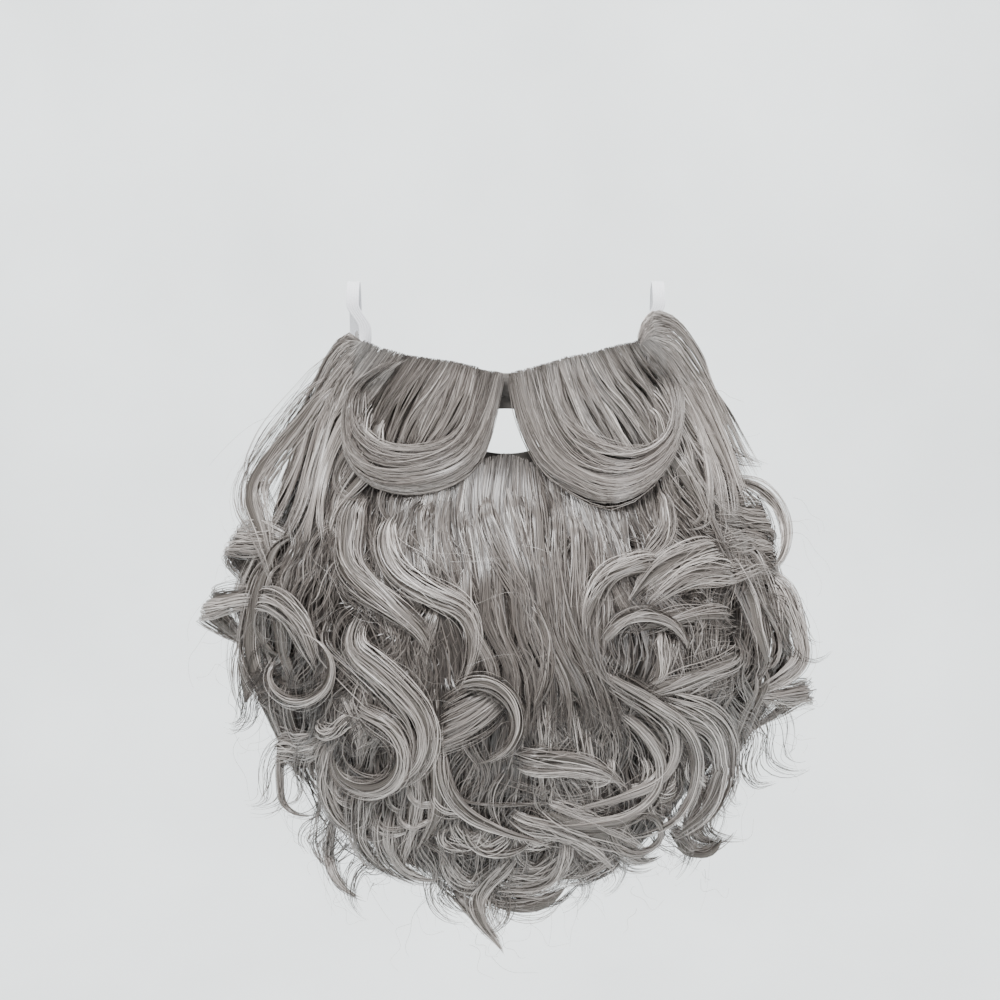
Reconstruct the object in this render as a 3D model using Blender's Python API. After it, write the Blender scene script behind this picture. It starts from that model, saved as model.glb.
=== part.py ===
"""Fake beard: a net base shaped to the face carries the curled hair, the two moustache halves and the ear loops.

Metres, +Z up, the wearer looks along -Y. The origin is the chin seat, on the inside of the net.
"""

import math

import bmesh
import bpy
from mathutils import Vector

# Net base
FACE_HALF_WIDTH = 0.077
LIP_HEIGHT = 0.055
EAR_RISE = 0.027
EAR_DEPTH = 0.088
JAW_DROP = 0.040
FACE_ROUNDNESS = 2.3
NET_WALL = 0.0015
MOUTH_WIDTH = 0.046
MOUTH_HEIGHT = 0.022
MOUTH_RISE = 0.028
MOUTH_ROOM = 0.006
GAP = 0.0003

# Hair
HAIR_HALF_WIDTH = 0.150
HAIR_DROP = 0.200
HAIR_FRONT = 0.050
HAIR_ROUNDNESS = 2.2
LOCK_WIDTH = 0.0105
LOCK_THICKNESS = 0.0075
LOCK_LIFT = 0.006
ROOT_SINK = 0.004
CURL_RISE = 0.010
TUFT_WIDTH = 0.0110
TUFT_THICKNESS = 0.0105
MOUTH_MARGIN = 0.006
SEAT_GAP = 0.0008

# Ear loops
LOOP_WIDTH = 0.0065
LOOP_THICKNESS = 0.0012
LOOP_START_BACK = 0.074
LOOP_START_UP = 0.055
LOOP_LENGTH = 0.176
LOOP_OUT = 0.003
LOOP_SEAT = 0.0005

# How finely the shapes are divided
FACE_COLUMNS = 18
FACE_LEVELS = 9
HAIR_COLUMNS = 18
HAIR_LEVELS = 11
LOCK_STEP = 0.024
BEND_STEP = 45
LOCK_SIDES = 5
MOUTH_SIDES = 24
TUFT_STEP = 0.014
LOOP_STEPS = 26
SHARP_ANGLE = math.radians(40)

# What the locks and the tufts of the moustache have in common: width, thickness, root, tip, step
LOCK_SIZE = (LOCK_WIDTH, LOCK_THICKNESS, 0.65, 0.18, LOCK_STEP)
TUFT_SIZE = (TUFT_WIDTH, TUFT_THICKNESS, 0.95, 0.30, TUFT_STEP)

# Each row of the face from the lip down to the throat. Height is a share of LIP_HEIGHT above the chin and of
# JAW_DROP below it, front and back are shares of EAR_DEPTH, and rise is the share of EAR_RISE at the ears.
# height, half_width, front, back, rise
FACE_ROWS = (
    (1.00, 1.000, -0.09, 1.00, 1.0),
    (0.62, 0.995, -0.08, 1.00, 0.7),
    (0.27, 0.945, 0.00, 0.98, 0.3),
    (0.00, 0.870, 0.00, 0.93, 0.0),
    (-0.50, 0.760, 0.045, 0.84, 0.0),
    (-0.85, 0.590, 0.205, 0.76, 0.0),
    (-1.00, 0.400, 0.420, 0.70, 0.0),
)

# Each row of the hair under its locks. Down is a share of HAIR_DROP below the chin, the widths and the shift
# to one side are shares of HAIR_HALF_WIDTH, the fronts of HAIR_FRONT and the back of EAR_DEPTH.
# down, shift, half_width, front, back, rise, inner_half_width, inner_front
HAIR_ROWS = (
    (-0.275, 0.005, 0.550, -0.30, 0.98, 1.0, 0.470, 0.00),
    (-0.150, 0.016, 0.645, -0.30, 0.98, 0.6, 0.470, 0.08),
    (-0.040, 0.025, 0.725, -0.36, 0.97, 0.2, 0.440, 0.16),
    (0.070, 0.033, 0.795, -0.52, 0.95, 0.0, 0.380, 0.20),
    (0.190, 0.020, 0.870, -0.72, 0.90, 0.0, 0.480, 0.20),
    (0.300, 0.020, 0.910, -0.86, 0.84, 0.0, 0.610, 0.08),
    (0.425, 0.055, 0.890, -0.96, 0.77, 0.0, 0.640, 0.00),
    (0.550, 0.033, 0.815, -0.98, 0.66, 0.0, 0.600, -0.08),
    (0.675, 0.020, 0.725, -0.92, 0.55, 0.0, 0.530, -0.12),
    (0.800, 0.006, 0.630, -0.78, 0.42, 0.0, 0.450, -0.16),
    (0.910, 0.000, 0.500, -0.58, 0.27, 0.0, 0.340, -0.16),
    (0.990, 0.013, 0.290, -0.38, 0.09, 0.0, 0.190, -0.16),
)

# Each lock seen from the front: where it starts, its heading from straight down in degrees, its width and lift
# as shares of LOCK_WIDTH and LOCK_LIFT, and its bends, each a run as a share of HAIR_DROP and a turn in degrees.
# across, down, heading, width, lift, bends
FRONT_LOCKS = (
    (-0.610, -0.370, -18, 0.9, 0.3, ((0.12, -10), (0.24, 6), (0.10, -10), (0.06, 25))),
    (-0.480, -0.350, -22, 1.5, 0.4, ((0.16, -2), (0.16, 4), (0.08, 20))),
    (-0.540, -0.345, -20, 1.9, 0.8, ((0.28, -8), (0.10, 10), (0.09, 55), (0.20, -2), (0.04, -20))),
    (-0.720, 0.130, -85, 1.9, 0.3, ((0.13, -5), (0.11, 150), (0.10, 10))),
    (-0.800, 0.270, -80, 1.5, 0.3, ((0.14, 0), (0.06, 125), (0.14, 10))),
    (-0.760, 0.140, -26, 1.5, 0.3, ((0.14, 8), (0.12, 20), (0.13, 32), (0.10, 40), (0.05, 20))),
    (-0.853, 0.305, 140, 1.5, 0.6, ((0.09, -75), (0.12, -40), (0.10, -10))),
    (-0.760, 0.390, 0, 0.6, 1.2, ((0.04, -5), (0.42, 280))),
    (-0.467, -0.025, -16, 1.8, 0.9, ((0.18, 12), (0.09, 55), (0.17, 0), (0.09, -50), (0.05, -35))),
    (-0.365, 0.030, -22, 1.4, 0.8, ((0.10, 20), (0.12, 55), (0.13, 16), (0.10, -70), (0.15, -40))),
    (-0.235, 0.020, -38, 1.1, 0.6, ((0.08, 32), (0.08, 35), (0.08, 15))),
    (-0.115, 0.010, -8, 1.5, 0.6, ((0.12, 22), (0.16, 10), (0.10, -28), (0.10, -40))),
    (-0.060, -0.010, -2, 1.3, 1.0, ((0.10, 16), (0.16, 12), (0.10, -26), (0.12, -40))),
    (0.000, -0.055, 2, 1.4, 0.7, ((0.15, 10), (0.22, 12), (0.12, -8), (0.14, -20))),
    (0.070, -0.050, 14, 1.4, 0.9, ((0.14, -10), (0.16, 0), (0.16, 18), (0.16, 25), (0.10, 8))),
    (0.150, -0.005, 2, 1.2, 0.7, ((0.13, -4), (0.13, 12), (0.15, 20), (0.14, 28), (0.08, 10))),
    (0.210, 0.030, 10, 1.2, 0.6, ((0.10, -8), (0.15, 0), (0.12, 20), (0.12, 28))),
    (0.285, 0.060, 6, 1.2, 0.4, ((0.14, -4), (0.16, -4), (0.10, 8))),
    (0.035, 0.250, 34, 1.0, 1.1, ((0.10, -6), (0.10, -34), (0.12, -34))),
    (-0.190, 0.500, 132, 0.8, 1.4, ((0.06, -26), (0.17, -105), (0.09, -60), (0.10, -40))),
    (0.040, 0.460, -54, 1.9, 0.9, ((0.17, -6), (0.09, 112), (0.26, 0), (0.05, -20))),
    (-0.450, 0.280, -25, 1.7, 0.9, ((0.07, 20), (0.07, 50), (0.16, 0), (0.10, -45), (0.13, -75), (0.10, -30))),
    (-0.520, 0.535, 84, 1.1, 1.5, ((0.10, -14), (0.13, -85), (0.12, -90), (0.10, -85), (0.06, -60))),
    (-0.575, 0.580, 0, 1.4, 0.5, ((0.10, -8), (0.12, 40), (0.10, 45), (0.06, 10))),
    (-0.200, 0.520, -26, 1.2, 0.7, ((0.06, 24), (0.16, 8), (0.07, -30), (0.10, -16))),
    (-0.725, 0.590, -70, 0.5, 0.2, ((0.03, 66), (0.15, 6), (0.09, 90), (0.06, 20))),
    (-0.560, 0.625, -85, 1.8, 0.4, ((0.11, -5), (0.10, 160), (0.10, 5))),
    (-0.560, 0.790, -10, 0.8, 0.2, ((0.13, 6), (0.09, 60), (0.07, 20))),
    (0.293, 0.400, 168, 0.9, 1.1, ((0.09, -50), (0.14, -75), (0.09, -45))),
    (0.250, 0.405, 48, 1.1, 0.9, ((0.14, 12), (0.08, -15), (0.12, -62), (0.11, -52), (0.20, -15))),
    (0.420, 0.500, 72, 1.7, 0.8, ((0.14, -8), (0.12, -52), (0.12, -35), (0.12, -45), (0.08, -15))),
    (0.515, 0.190, -80, 1.2, 1.2, ((0.12, 5), (0.08, 50), (0.12, 32))),
    (0.722, 0.148, -80, 1.4, 0.9, ((0.12, 10), (0.11, 22), (0.09, 20))),
    (0.780, 0.218, -100, 1.5, 0.7, ((0.10, 14), (0.12, 28), (0.09, 25))),
    (0.947, 0.230, -96, 1.5, 0.4, ((0.16, 10), (0.12, 10), (0.10, 15))),
    (0.765, 0.310, -84, 1.5, 0.5, ((0.12, -6), (0.12, 22), (0.06, 20))),
    (0.790, 0.390, -48, 1.5, 0.6, ((0.10, -22), (0.12, -8), (0.10, 16))),
    (0.880, 0.205, 62, 1.5, 0.2, ((0.06, -38), (0.16, -16), (0.07, -62), (0.14, -34))),
    (0.763, -0.035, 70, 0.9, 0.2, ((0.10, -20), (0.12, -36), (0.09, -32))),
    (0.620, 0.035, 72, 1.8, 0.3, ((0.18, 10), (0.10, -130), (0.06, -10))),
    (0.650, 0.150, 96, 1.8, 0.3, ((0.15, -8), (0.10, -125), (0.08, -10))),
    (0.770, 0.525, 92, 1.0, 0.1, ((0.17, 4), (0.06, -150), (0.17, -8))),
    (0.640, 0.700, 0, 1.2, 0.3, ((0.10, -20), (0.08, 70), (0.08, 50))),
    (0.550, 0.855, 20, 0.9, 0.5, ((0.08, 40), (0.07, 80), (0.05, 40))),
    (0.573, -0.130, 38, 1.3, 0.4, ((0.10, 16), (0.10, 6), (0.06, 8))),
    (0.553, -0.110, 18, 0.9, 0.6, ((0.14, 6), (0.14, 4), (0.05, -10))),
    (0.497, -0.010, 12, 1.0, 0.6, ((0.09, -8), (0.09, -48), (0.10, -6))),
    (0.520, -0.420, 38, 1.1, 0.3, ((0.15, -8), (0.14, -10), (0.08, -26))),
    (0.480, -0.395, 30, 1.7, 0.5, ((0.16, -6), (0.14, 4), (0.06, -10))),
    (-0.020, 0.780, 75, 1.7, 0.6, ((0.12, -5), (0.14, -16), (0.08, -30))),
    (0.220, 0.850, -18, 1.8, 0.3, ((0.06, -28), (0.12, -46), (0.10, -14))),
    (-0.190, 0.985, 46, 0.8, 0.1, ((0.14, -4), (0.08, -18))),
    (-0.090, 0.990, 60, 1.3, 0.1, ((0.10, 22), (0.12, 52), (0.04, 20))),
    (-0.220, 0.865, 10, 1.4, 0.2, ((0.08, 25), (0.12, 52), (0.10, 14))),
    (0.447, 0.745, -62, 0.8, 0.5, ((0.07, 32), (0.08, 52), (0.08, 70), (0.06, 50))),
)

# Each lock on a side, the same on both, seen from that side: along is a share of EAR_DEPTH behind the chin,
# and a heading or a turn towards the back is positive. The other columns are those above.
# along, down, heading, width, lift, bends
SIDE_LOCKS = (
    (0.86, -0.36, -4, 1.6, 0.4, ((0.28, 12), (0.20, -34), (0.18, 60), (0.12, 100))),
    (0.64, -0.30, -6, 1.7, 0.5, ((0.30, -12), (0.20, 40), (0.20, -50), (0.14, -110))),
    (0.42, -0.20, -2, 1.6, 0.4, ((0.24, 14), (0.20, -36), (0.22, 50), (0.12, 110))),
    (0.70, 0.24, 6, 1.5, 0.8, ((0.16, -20), (0.16, -50), (0.10, -100))),
    (0.30, 0.30, 10, 1.6, 0.5, ((0.16, 24), (0.14, 60), (0.10, 110))),
)

# Each tuft of the moustache, seen from the front, with the columns of the front locks
LEFT_TUFTS = (
    (-0.036, -0.260, -10, 1.0, 0.4, ((0.18, -14), (0.31, -108), (0.20, -56))),
    (-0.072, -0.266, -10, 1.0, 0.6, ((0.16, -14), (0.27, -108), (0.17, -54))),
    (-0.104, -0.270, -10, 1.0, 0.4, ((0.14, -12), (0.23, -110), (0.14, -48))),
    (-0.152, -0.274, -8, 1.0, 0.2, ((0.12, -12), (0.18, -110), (0.11, -40))),
)
RIGHT_TUFTS = (
    (0.034, -0.260, 10, 1.0, 0.4, ((0.25, 18), (0.31, 116), (0.12, 26))),
    (0.074, -0.266, 10, 1.0, 0.6, ((0.22, 17), (0.28, 116), (0.11, 26))),
    (0.116, -0.272, 10, 1.0, 0.4, ((0.19, 15), (0.25, 116), (0.10, 24))),
    (0.165, -0.278, 9, 1.0, 0.2, ((0.16, 14), (0.21, 114), (0.09, 22))),
)

# The loop seen from the side, from its upper tab over the ear to its lower tab: runs as shares of LOOP_LENGTH
LOOP_HEADING = 168
LOOP_BENDS = ((0.23, -3), (0.26, -135), (0.14, -20), (0.16, -65), (0.21, -15))
# The shares of the loop where it lies flat on the net, and where it stands turned flat to the front
LOOP_FLAT = (0.05, 0.95)
LOOP_TURNED = (0.16, 0.84)
LOOP_CLEAR = (0.24, 0.76)

HAIR_COLOUR = (0.36, 0.34, 0.32, 1.0)
NET_COLOUR = (0.20, 0.19, 0.18, 1.0)
ELASTIC_COLOUR = (0.85, 0.85, 0.86, 1.0)


def material(name, colour, roughness):
    made = bpy.data.materials.new(name)
    made.use_nodes = True
    shader = made.node_tree.nodes["Principled BSDF"]
    shader.inputs["Base Color"].default_value = colour
    shader.inputs["Roughness"].default_value = roughness
    shader.inputs["Metallic"].default_value = 0.0
    return made


def mesh_object(name, points, faces, finish=None):
    mesh = bpy.data.meshes.new(name)
    mesh.from_pydata([tuple(point) for point in points], [], faces)
    mesh.validate()
    mesh.shade_smooth()
    made = bpy.data.objects.new(name, mesh)
    if finish:
        mesh.materials.append(finish)
    bpy.context.scene.collection.objects.link(made)
    return made


def as_cutter(made):
    made.hide_render = True
    made.display_type = "WIRE"
    return made


def boolean(target, operation, other, solver="EXACT"):
    step = target.modifiers.new(other.name, "BOOLEAN")
    step.operation = operation
    step.solver = solver
    step.object = other


def fuse(target, pieces):
    """Fuses many closed pieces, which cross each other, into the target."""
    group = bpy.data.collections.new(target.name + "_pieces")
    bpy.context.scene.collection.children.link(group)
    for piece in pieces:
        bpy.context.scene.collection.objects.unlink(as_cutter(piece))
        group.objects.link(piece)
    step = target.modifiers.new("fused", "BOOLEAN")
    step.operation = "UNION"
    step.solver = "MANIFOLD"
    step.operand_type = "COLLECTION"
    step.collection = group


def shells_of(shape):
    """The faces of each connected shell."""
    left = set(shape.faces)
    shells = []
    while left:
        waiting = [left.pop()]
        shell = []
        while waiting:
            face = waiting.pop()
            shell.append(face)
            for edge in face.edges:
                for other in edge.link_faces:
                    if other in left:
                        left.discard(other)
                        waiting.append(other)
        shells.append(shell)
    return shells


def keep_outer_shell(made):
    """Makes the modifiers real and fills the hollows that the locks close off between them."""
    graph = bpy.context.evaluated_depsgraph_get()
    mesh = bpy.data.meshes.new_from_object(made.evaluated_get(graph))
    shape = bmesh.new()
    shape.from_mesh(mesh)
    shells = sorted(shells_of(shape), key=len)
    spare = [face for shell in shells[:-1] for face in shell]
    bmesh.ops.delete(shape, geom=spare, context="FACES")
    shape.to_mesh(mesh)
    shape.free()
    mesh.shade_smooth()
    mesh.set_sharp_from_angle(angle=SHARP_ANGLE)
    made.modifiers.clear()
    made.data = mesh


def ease(share):
    share = min(1.0, max(0.0, share))
    return share * share * (3 - 2 * share)


def ramp(share, start, end):
    return ease((share - start) / (end - start))


def row_at(rows, place):
    """The table's columns at a place counted in rows, on a smooth curve through the rows."""
    place = min(len(rows) - 1.0, max(0.0, place))
    below = min(int(place), len(rows) - 2)
    share = place - below
    before = rows[max(below - 1, 0)]
    after = rows[min(below + 2, len(rows) - 1)]
    values = []
    for column, (start, end) in enumerate(zip(rows[below], rows[below + 1])):
        slope_in = (end - before[column]) / 2
        slope_out = (after[column] - start) / 2
        bend_in = 3 * (end - start) - 2 * slope_in - slope_out
        bend_out = slope_in + slope_out - 2 * (end - start)
        values.append(start + share * (slope_in + share * (bend_in + share * bend_out)))
    return values


def bow(half_width, front, back, roundness, turn):
    """A point of a section that bows forwards, with turn from -1 at one back edge to 1 at the other."""
    angle = turn * math.pi / 2
    across = abs(math.sin(angle)) ** (2 / roundness) * math.copysign(1, turn)
    forward = abs(math.cos(angle)) ** (2 / roundness)
    return half_width * across, back - (back - front) * forward


def edge_rise(turn):
    return EAR_RISE * abs(turn) ** 1.6


def face_point(turn, place, above=0.0):
    height, half_width, front, back, rise = row_at(FACE_ROWS, place)
    x, y = bow(half_width * FACE_HALF_WIDTH, front * EAR_DEPTH, back * EAR_DEPTH, FACE_ROUNDNESS, turn)
    z = height * (LIP_HEIGHT if height > 0 else JAW_DROP) + rise * edge_rise(turn)
    return Vector((x, y, z + above))


def face_offset(turn, place, distance, above=0.0):
    """A point at a distance outside the face."""
    step = 0.01
    along = face_point(min(1, turn + step), place) - face_point(max(-1, turn - step), place)
    down = face_point(turn, min(len(FACE_ROWS) - 1, place + step)) - face_point(turn, max(0, place - step))
    return face_point(turn, place, above) + along.cross(down).normalized() * -distance


def grid(columns, levels, point):
    """The points of a surface, level by level, from functions of turn and share."""
    return [
        point(2 * column / columns - 1, level / levels)
        for level in range(levels + 1)
        for column in range(columns + 1)
    ]


def closed_shell(outer, inner, columns):
    """The faces of two like grids joined all round their edges."""
    wide = columns + 1
    levels = len(outer) // wide
    points = outer + inner
    faces = []
    for level in range(levels - 1):
        for column in range(columns):
            start = level * wide + column
            quad = (start, start + wide, start + wide + 1, start + 1)
            faces.append(quad)
            faces.append(tuple(corner + len(outer) for corner in reversed(quad)))
    rim = list(range(columns))
    rim += [level * wide + columns for level in range(levels - 1)]
    rim += [(levels - 1) * wide + column for column in range(columns, 0, -1)]
    rim += [level * wide for level in range(levels - 1, 0, -1)]
    for here, there in zip(rim, rim[1:] + rim[:1]):
        faces.append((here, there, there + len(outer), here + len(outer)))
    return points, faces


def net_base(finish):
    last = len(FACE_ROWS) - 1
    outer = grid(FACE_COLUMNS, FACE_LEVELS, lambda turn, share: face_offset(turn, share * last, NET_WALL))
    inner = grid(FACE_COLUMNS, FACE_LEVELS, lambda turn, share: face_point(turn, share * last))
    made = mesh_object("net_base", *closed_shell(outer, inner, FACE_COLUMNS), finish)
    boolean(made, "DIFFERENCE", mouth_cutter("mouth_hole", 0.0, EAR_DEPTH / 2))
    return made


def mouth_cutter(name, grown, front):
    """An oval bar through the mouth, from inside the face to a distance in front of the chin."""
    sides = MOUTH_SIDES
    ring = [
        (
            (MOUTH_WIDTH / 2 + grown) * math.cos(2 * math.pi * side / sides),
            MOUTH_RISE + (MOUTH_HEIGHT / 2 + grown) * math.sin(2 * math.pi * side / sides),
        )
        for side in range(sides)
    ]
    points = [(x, -front, z) for x, z in ring] + [(x, EAR_DEPTH / 2, z) for x, z in ring]
    faces = [tuple(range(sides)), tuple(range(2 * sides - 1, sides - 1, -1))]
    for side in range(sides):
        after = (side + 1) % sides
        faces.append((side, side + sides, after + sides, after))
    return as_cutter(mesh_object(name, points, faces))


def face_side(y, z):
    """How far to one side the inside of the net is, at a place seen from that side."""
    low = 0.0
    high = len(FACE_ROWS) - 1.0
    for _ in range(20):
        place = (low + high) / 2
        if face_point(1, place).z > z:
            low = place
        else:
            high = place
    height, half_width, front, back, rise = row_at(FACE_ROWS, low)
    deep = min(1.0, max(0.0, (back * EAR_DEPTH - y) / ((back - front) * EAR_DEPTH)))
    return half_width * FACE_HALF_WIDTH * (1 - deep**FACE_ROUNDNESS) ** (1 / FACE_ROUNDNESS)


def lip_front():
    """How far the net stands in front of the chin seat at the lip."""
    return NET_WALL - face_point(0, 0).y


def head_room():
    """The face grown by the net and a gap, reaching up and back: no hair lies inside it."""
    last = len(FACE_ROWS) - 1
    reach = NET_WALL + GAP
    above = LIP_HEIGHT
    front = [face_offset(2 * column / FACE_COLUMNS - 1, 0, reach, above) for column in range(FACE_COLUMNS + 1)]
    front += grid(FACE_COLUMNS, FACE_LEVELS, lambda turn, share: face_offset(turn, share * last, reach))
    behind = [Vector((point.x, 1.5 * EAR_DEPTH, point.z)) for point in front]
    return as_cutter(mesh_object("head_room", *closed_shell(front, behind, FACE_COLUMNS)))


def hair_row(z):
    """The hair's columns at a height, found between its rows."""
    down = -z / HAIR_DROP
    rows = HAIR_ROWS
    below = 0
    while below < len(rows) - 2 and rows[below + 1][0] < down:
        below += 1
    share = (down - rows[below][0]) / (rows[below + 1][0] - rows[below][0])
    return row_at(rows, below + min(1.0, max(0.0, share)))


def hair_front(x, z):
    """How far forward the hair's surface is at a place seen from the front."""
    down, shift, half_width, front, back = hair_row(z)[:5]
    across = min(0.93, abs(x / HAIR_HALF_WIDTH - shift) / half_width)
    forward = (1 - across**HAIR_ROUNDNESS) ** (1 / HAIR_ROUNDNESS)
    return back * EAR_DEPTH - (back * EAR_DEPTH - front * HAIR_FRONT) * forward


def hair_side(y, z, side):
    """How far to one side the hair's surface is at a place seen from that side."""
    down, shift, half_width, front, back = hair_row(z)[:5]
    deep = (back * EAR_DEPTH - y) / (back * EAR_DEPTH - front * HAIR_FRONT)
    across = (1 - min(0.95, max(0.0, deep)) ** HAIR_ROUNDNESS) ** (1 / HAIR_ROUNDNESS)
    return (shift + side * half_width * across) * HAIR_HALF_WIDTH


def hair_mass():
    def outer(turn, share):
        down, shift, half_width, front, back, rise = row_at(HAIR_ROWS, share * last)[:6]
        x, y = bow(half_width * HAIR_HALF_WIDTH, front * HAIR_FRONT, back * EAR_DEPTH, HAIR_ROUNDNESS, turn)
        return Vector((x + shift * HAIR_HALF_WIDTH, y, rise * edge_rise(turn) - down * HAIR_DROP))

    def inner(turn, share):
        row = row_at(HAIR_ROWS, share * last)
        down, shift, half_width, front, back, rise, inner_half_width, inner_front = row
        x, y = bow(
            inner_half_width * HAIR_HALF_WIDTH, inner_front * HAIR_FRONT, back * EAR_DEPTH, HAIR_ROUNDNESS, turn
        )
        return Vector((x + shift * HAIR_HALF_WIDTH, y, rise * edge_rise(turn) - down * HAIR_DROP))

    last = len(HAIR_ROWS) - 1
    outside = grid(HAIR_COLUMNS, HAIR_LEVELS, outer)
    inside = grid(HAIR_COLUMNS, HAIR_LEVELS, inner)
    return closed_shell(outside, inside, HAIR_COLUMNS)


def bend_path(start, heading, bends, scale, step):
    """The points of a path of arcs in a plane, each with the turn so far in degrees."""
    along, height = start
    points = [(along, height, 0.0)]
    turned = 0.0
    for run, turn in bends:
        length = run * scale
        count = max(1, round(max(length / step, abs(turn) / BEND_STEP)))
        for _ in range(count):
            angle = math.radians(heading + turned + turn / count / 2)
            turned += turn / count
            along += math.sin(angle) * length / count
            height -= math.cos(angle) * length / count
            points.append((along, height, turned))
    return points


def fullness(share, root, tip):
    """How full a lock is along its length: it swells from its root and narrows to its tip."""
    return (root + (1 - root) * ramp(share, 0.0, 0.25)) * (1 - (1 - tip) * ramp(share, 0.55, 1.0))


def swept(centres, normals, widths, thicknesses, sides):
    """A closed round bar through centres, wide across its path and thin along its normals."""
    points = []
    count = len(centres)
    for place, centre in enumerate(centres):
        tangent = (centres[min(place + 1, count - 1)] - centres[max(place - 1, 0)]).normalized()
        across = tangent.cross(normals[place]).normalized()
        normal = across.cross(tangent)
        for side in range(sides):
            angle = 2 * math.pi * (side + 0.5) / sides
            points.append(
                centre
                + across * widths[place] / 2 * math.cos(angle)
                + normal * thicknesses[place] / 2 * math.sin(angle)
            )
    faces = [tuple(range(sides)), tuple(range(count * sides - 1, (count - 1) * sides - 1, -1))]
    for place in range(count - 1):
        for side in range(sides):
            here = place * sides + side
            after = place * sides + (side + 1) % sides
            faces.append((here, here + sides, after + sides, after))
    return points, faces


def lock(row, place, size, grown=0.0):
    """One lock: place gives the hair's surface at a point of its plane, with the way out of it."""
    across, down, heading, wide, lift, bends = row
    width, thickness, root, tip, step = size
    flat = bend_path((across, -down * HAIR_DROP), heading, bends, HAIR_DROP, step)
    centres = []
    normals = []
    widths = []
    thicknesses = []
    for number, (along, height, turned) in enumerate(flat):
        share = number / (len(flat) - 1)
        surface, outward = place(along, height)
        rise = (LOCK_LIFT * lift + ROOT_SINK) * ramp(share, 0.0, 0.2) - ROOT_SINK
        rise += CURL_RISE * max(0.0, abs(turned) - 150) / 360
        centres.append(surface + outward * rise)
        normals.append(outward)
        full = fullness(share, root, tip)
        widths.append(wide * width * full + 2 * grown)
        thicknesses.append(thickness * full**0.7 * min(1.0, 0.5 + wide / 2) + 2 * grown)
    centres[0] += (centres[0] - centres[1]).normalized() * grown
    centres[-1] += (centres[-1] - centres[-2]).normalized() * grown
    return swept(centres, normals, widths, thicknesses, LOCK_SIDES)


def front_place(along, height):
    step = 0.004
    slope_x = (hair_front(along + step, height) - hair_front(along - step, height)) / (2 * step)
    slope_z = (hair_front(along, height + step) - hair_front(along, height - step)) / (2 * step)
    return Vector((along, hair_front(along, height), height)), Vector((slope_x, -1, slope_z)).normalized()


def side_place(side):
    def place(along, height):
        step = 0.004
        slope_y = (hair_side(along + step, height, side) - hair_side(along - step, height, side)) / (2 * step)
        slope_z = (hair_side(along, height + step, side) - hair_side(along, height - step, side)) / (2 * step)
        outward = Vector((1, -slope_y, -slope_z)).normalized() * side
        return Vector((hair_side(along, height, side), along, height)), outward

    return place


def beard_hair(finish):
    """The hair's mass with its locks, which start inside it."""
    mass = mesh_object("beard_hair", *hair_mass(), finish)
    locks = []
    for across, *rest in FRONT_LOCKS:
        row = (across * HAIR_HALF_WIDTH, *rest)
        locks.append(mesh_object("lock", *lock(row, front_place, LOCK_SIZE)))
    for side in (-1, 1):
        for along, *rest in SIDE_LOCKS:
            row = (along * EAR_DEPTH, *rest)
            locks.append(mesh_object("lock", *lock(row, side_place(side), LOCK_SIZE)))
    fuse(mass, locks)
    return mass


def moustache(name, rows, finish=None, grown=0.0):
    tufts = []
    for across, *rest in rows:
        row = (across * HAIR_HALF_WIDTH, *rest)
        tufts.append(mesh_object(name, *lock(row, front_place, TUFT_SIZE, grown), finish))
    fuse(tufts[0], tufts[1:])
    return tufts[0]


def ear_loop(name, side, finish=None, grown=0.0):
    """An elastic band sewn flat inside the net at both ends, and turned flat to the front over the ear."""
    flat = bend_path(
        (LOOP_START_BACK, LOOP_START_UP), LOOP_HEADING, LOOP_BENDS, LOOP_LENGTH, LOOP_LENGTH / LOOP_STEPS
    )
    points = []
    for number, (along, height, turned) in enumerate(flat):
        share = number / (len(flat) - 1)
        twist = ramp(share, LOOP_FLAT[0], LOOP_TURNED[0]) - ramp(share, LOOP_TURNED[1], LOOP_FLAT[1])
        free = ramp(share, LOOP_TURNED[0], LOOP_CLEAR[0]) - ramp(share, LOOP_CLEAR[1], LOOP_TURNED[1])
        angle = twist * math.pi / 2
        heading = math.radians(LOOP_HEADING + turned)
        ahead = Vector((0, math.sin(heading), -math.cos(heading)))
        outward = Vector((side, 0, 0))
        edge = ahead.cross(outward)
        wide = edge * math.cos(angle) + outward * math.sin(angle)
        thin = outward * math.cos(angle) - edge * math.sin(angle)
        reach = (LOOP_WIDTH * math.sin(angle) + LOOP_THICKNESS * math.cos(angle)) / 2
        corners = [Vector((0, along, height)) + wide * end * LOOP_WIDTH / 2 for end in (-1, 0, 1)]
        inside = min(face_side(corner.y, corner.z) for corner in corners) - LOOP_SEAT - reach
        out = inside + (FACE_HALF_WIDTH + LOOP_OUT - inside) * free
        centre = Vector((side * out, along, height))
        for across, through in ((1, 1), (-1, 1), (-1, -1), (1, -1)):
            edge_reach = across * (LOOP_WIDTH / 2 + grown)
            face_reach = through * (LOOP_THICKNESS / 2 + grown)
            points.append(centre + wide * edge_reach + thin * face_reach)
    count = len(flat)
    faces = [(0, 1, 2, 3), tuple(range(4 * count - 1, 4 * count - 5, -1))]
    for number in range(count - 1):
        for corner in range(4):
            here = 4 * number + corner
            after = 4 * number + (corner + 1) % 4
            faces.append((here, here + 4, after + 4, after))
    return mesh_object(name, points, faces, finish)


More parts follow.
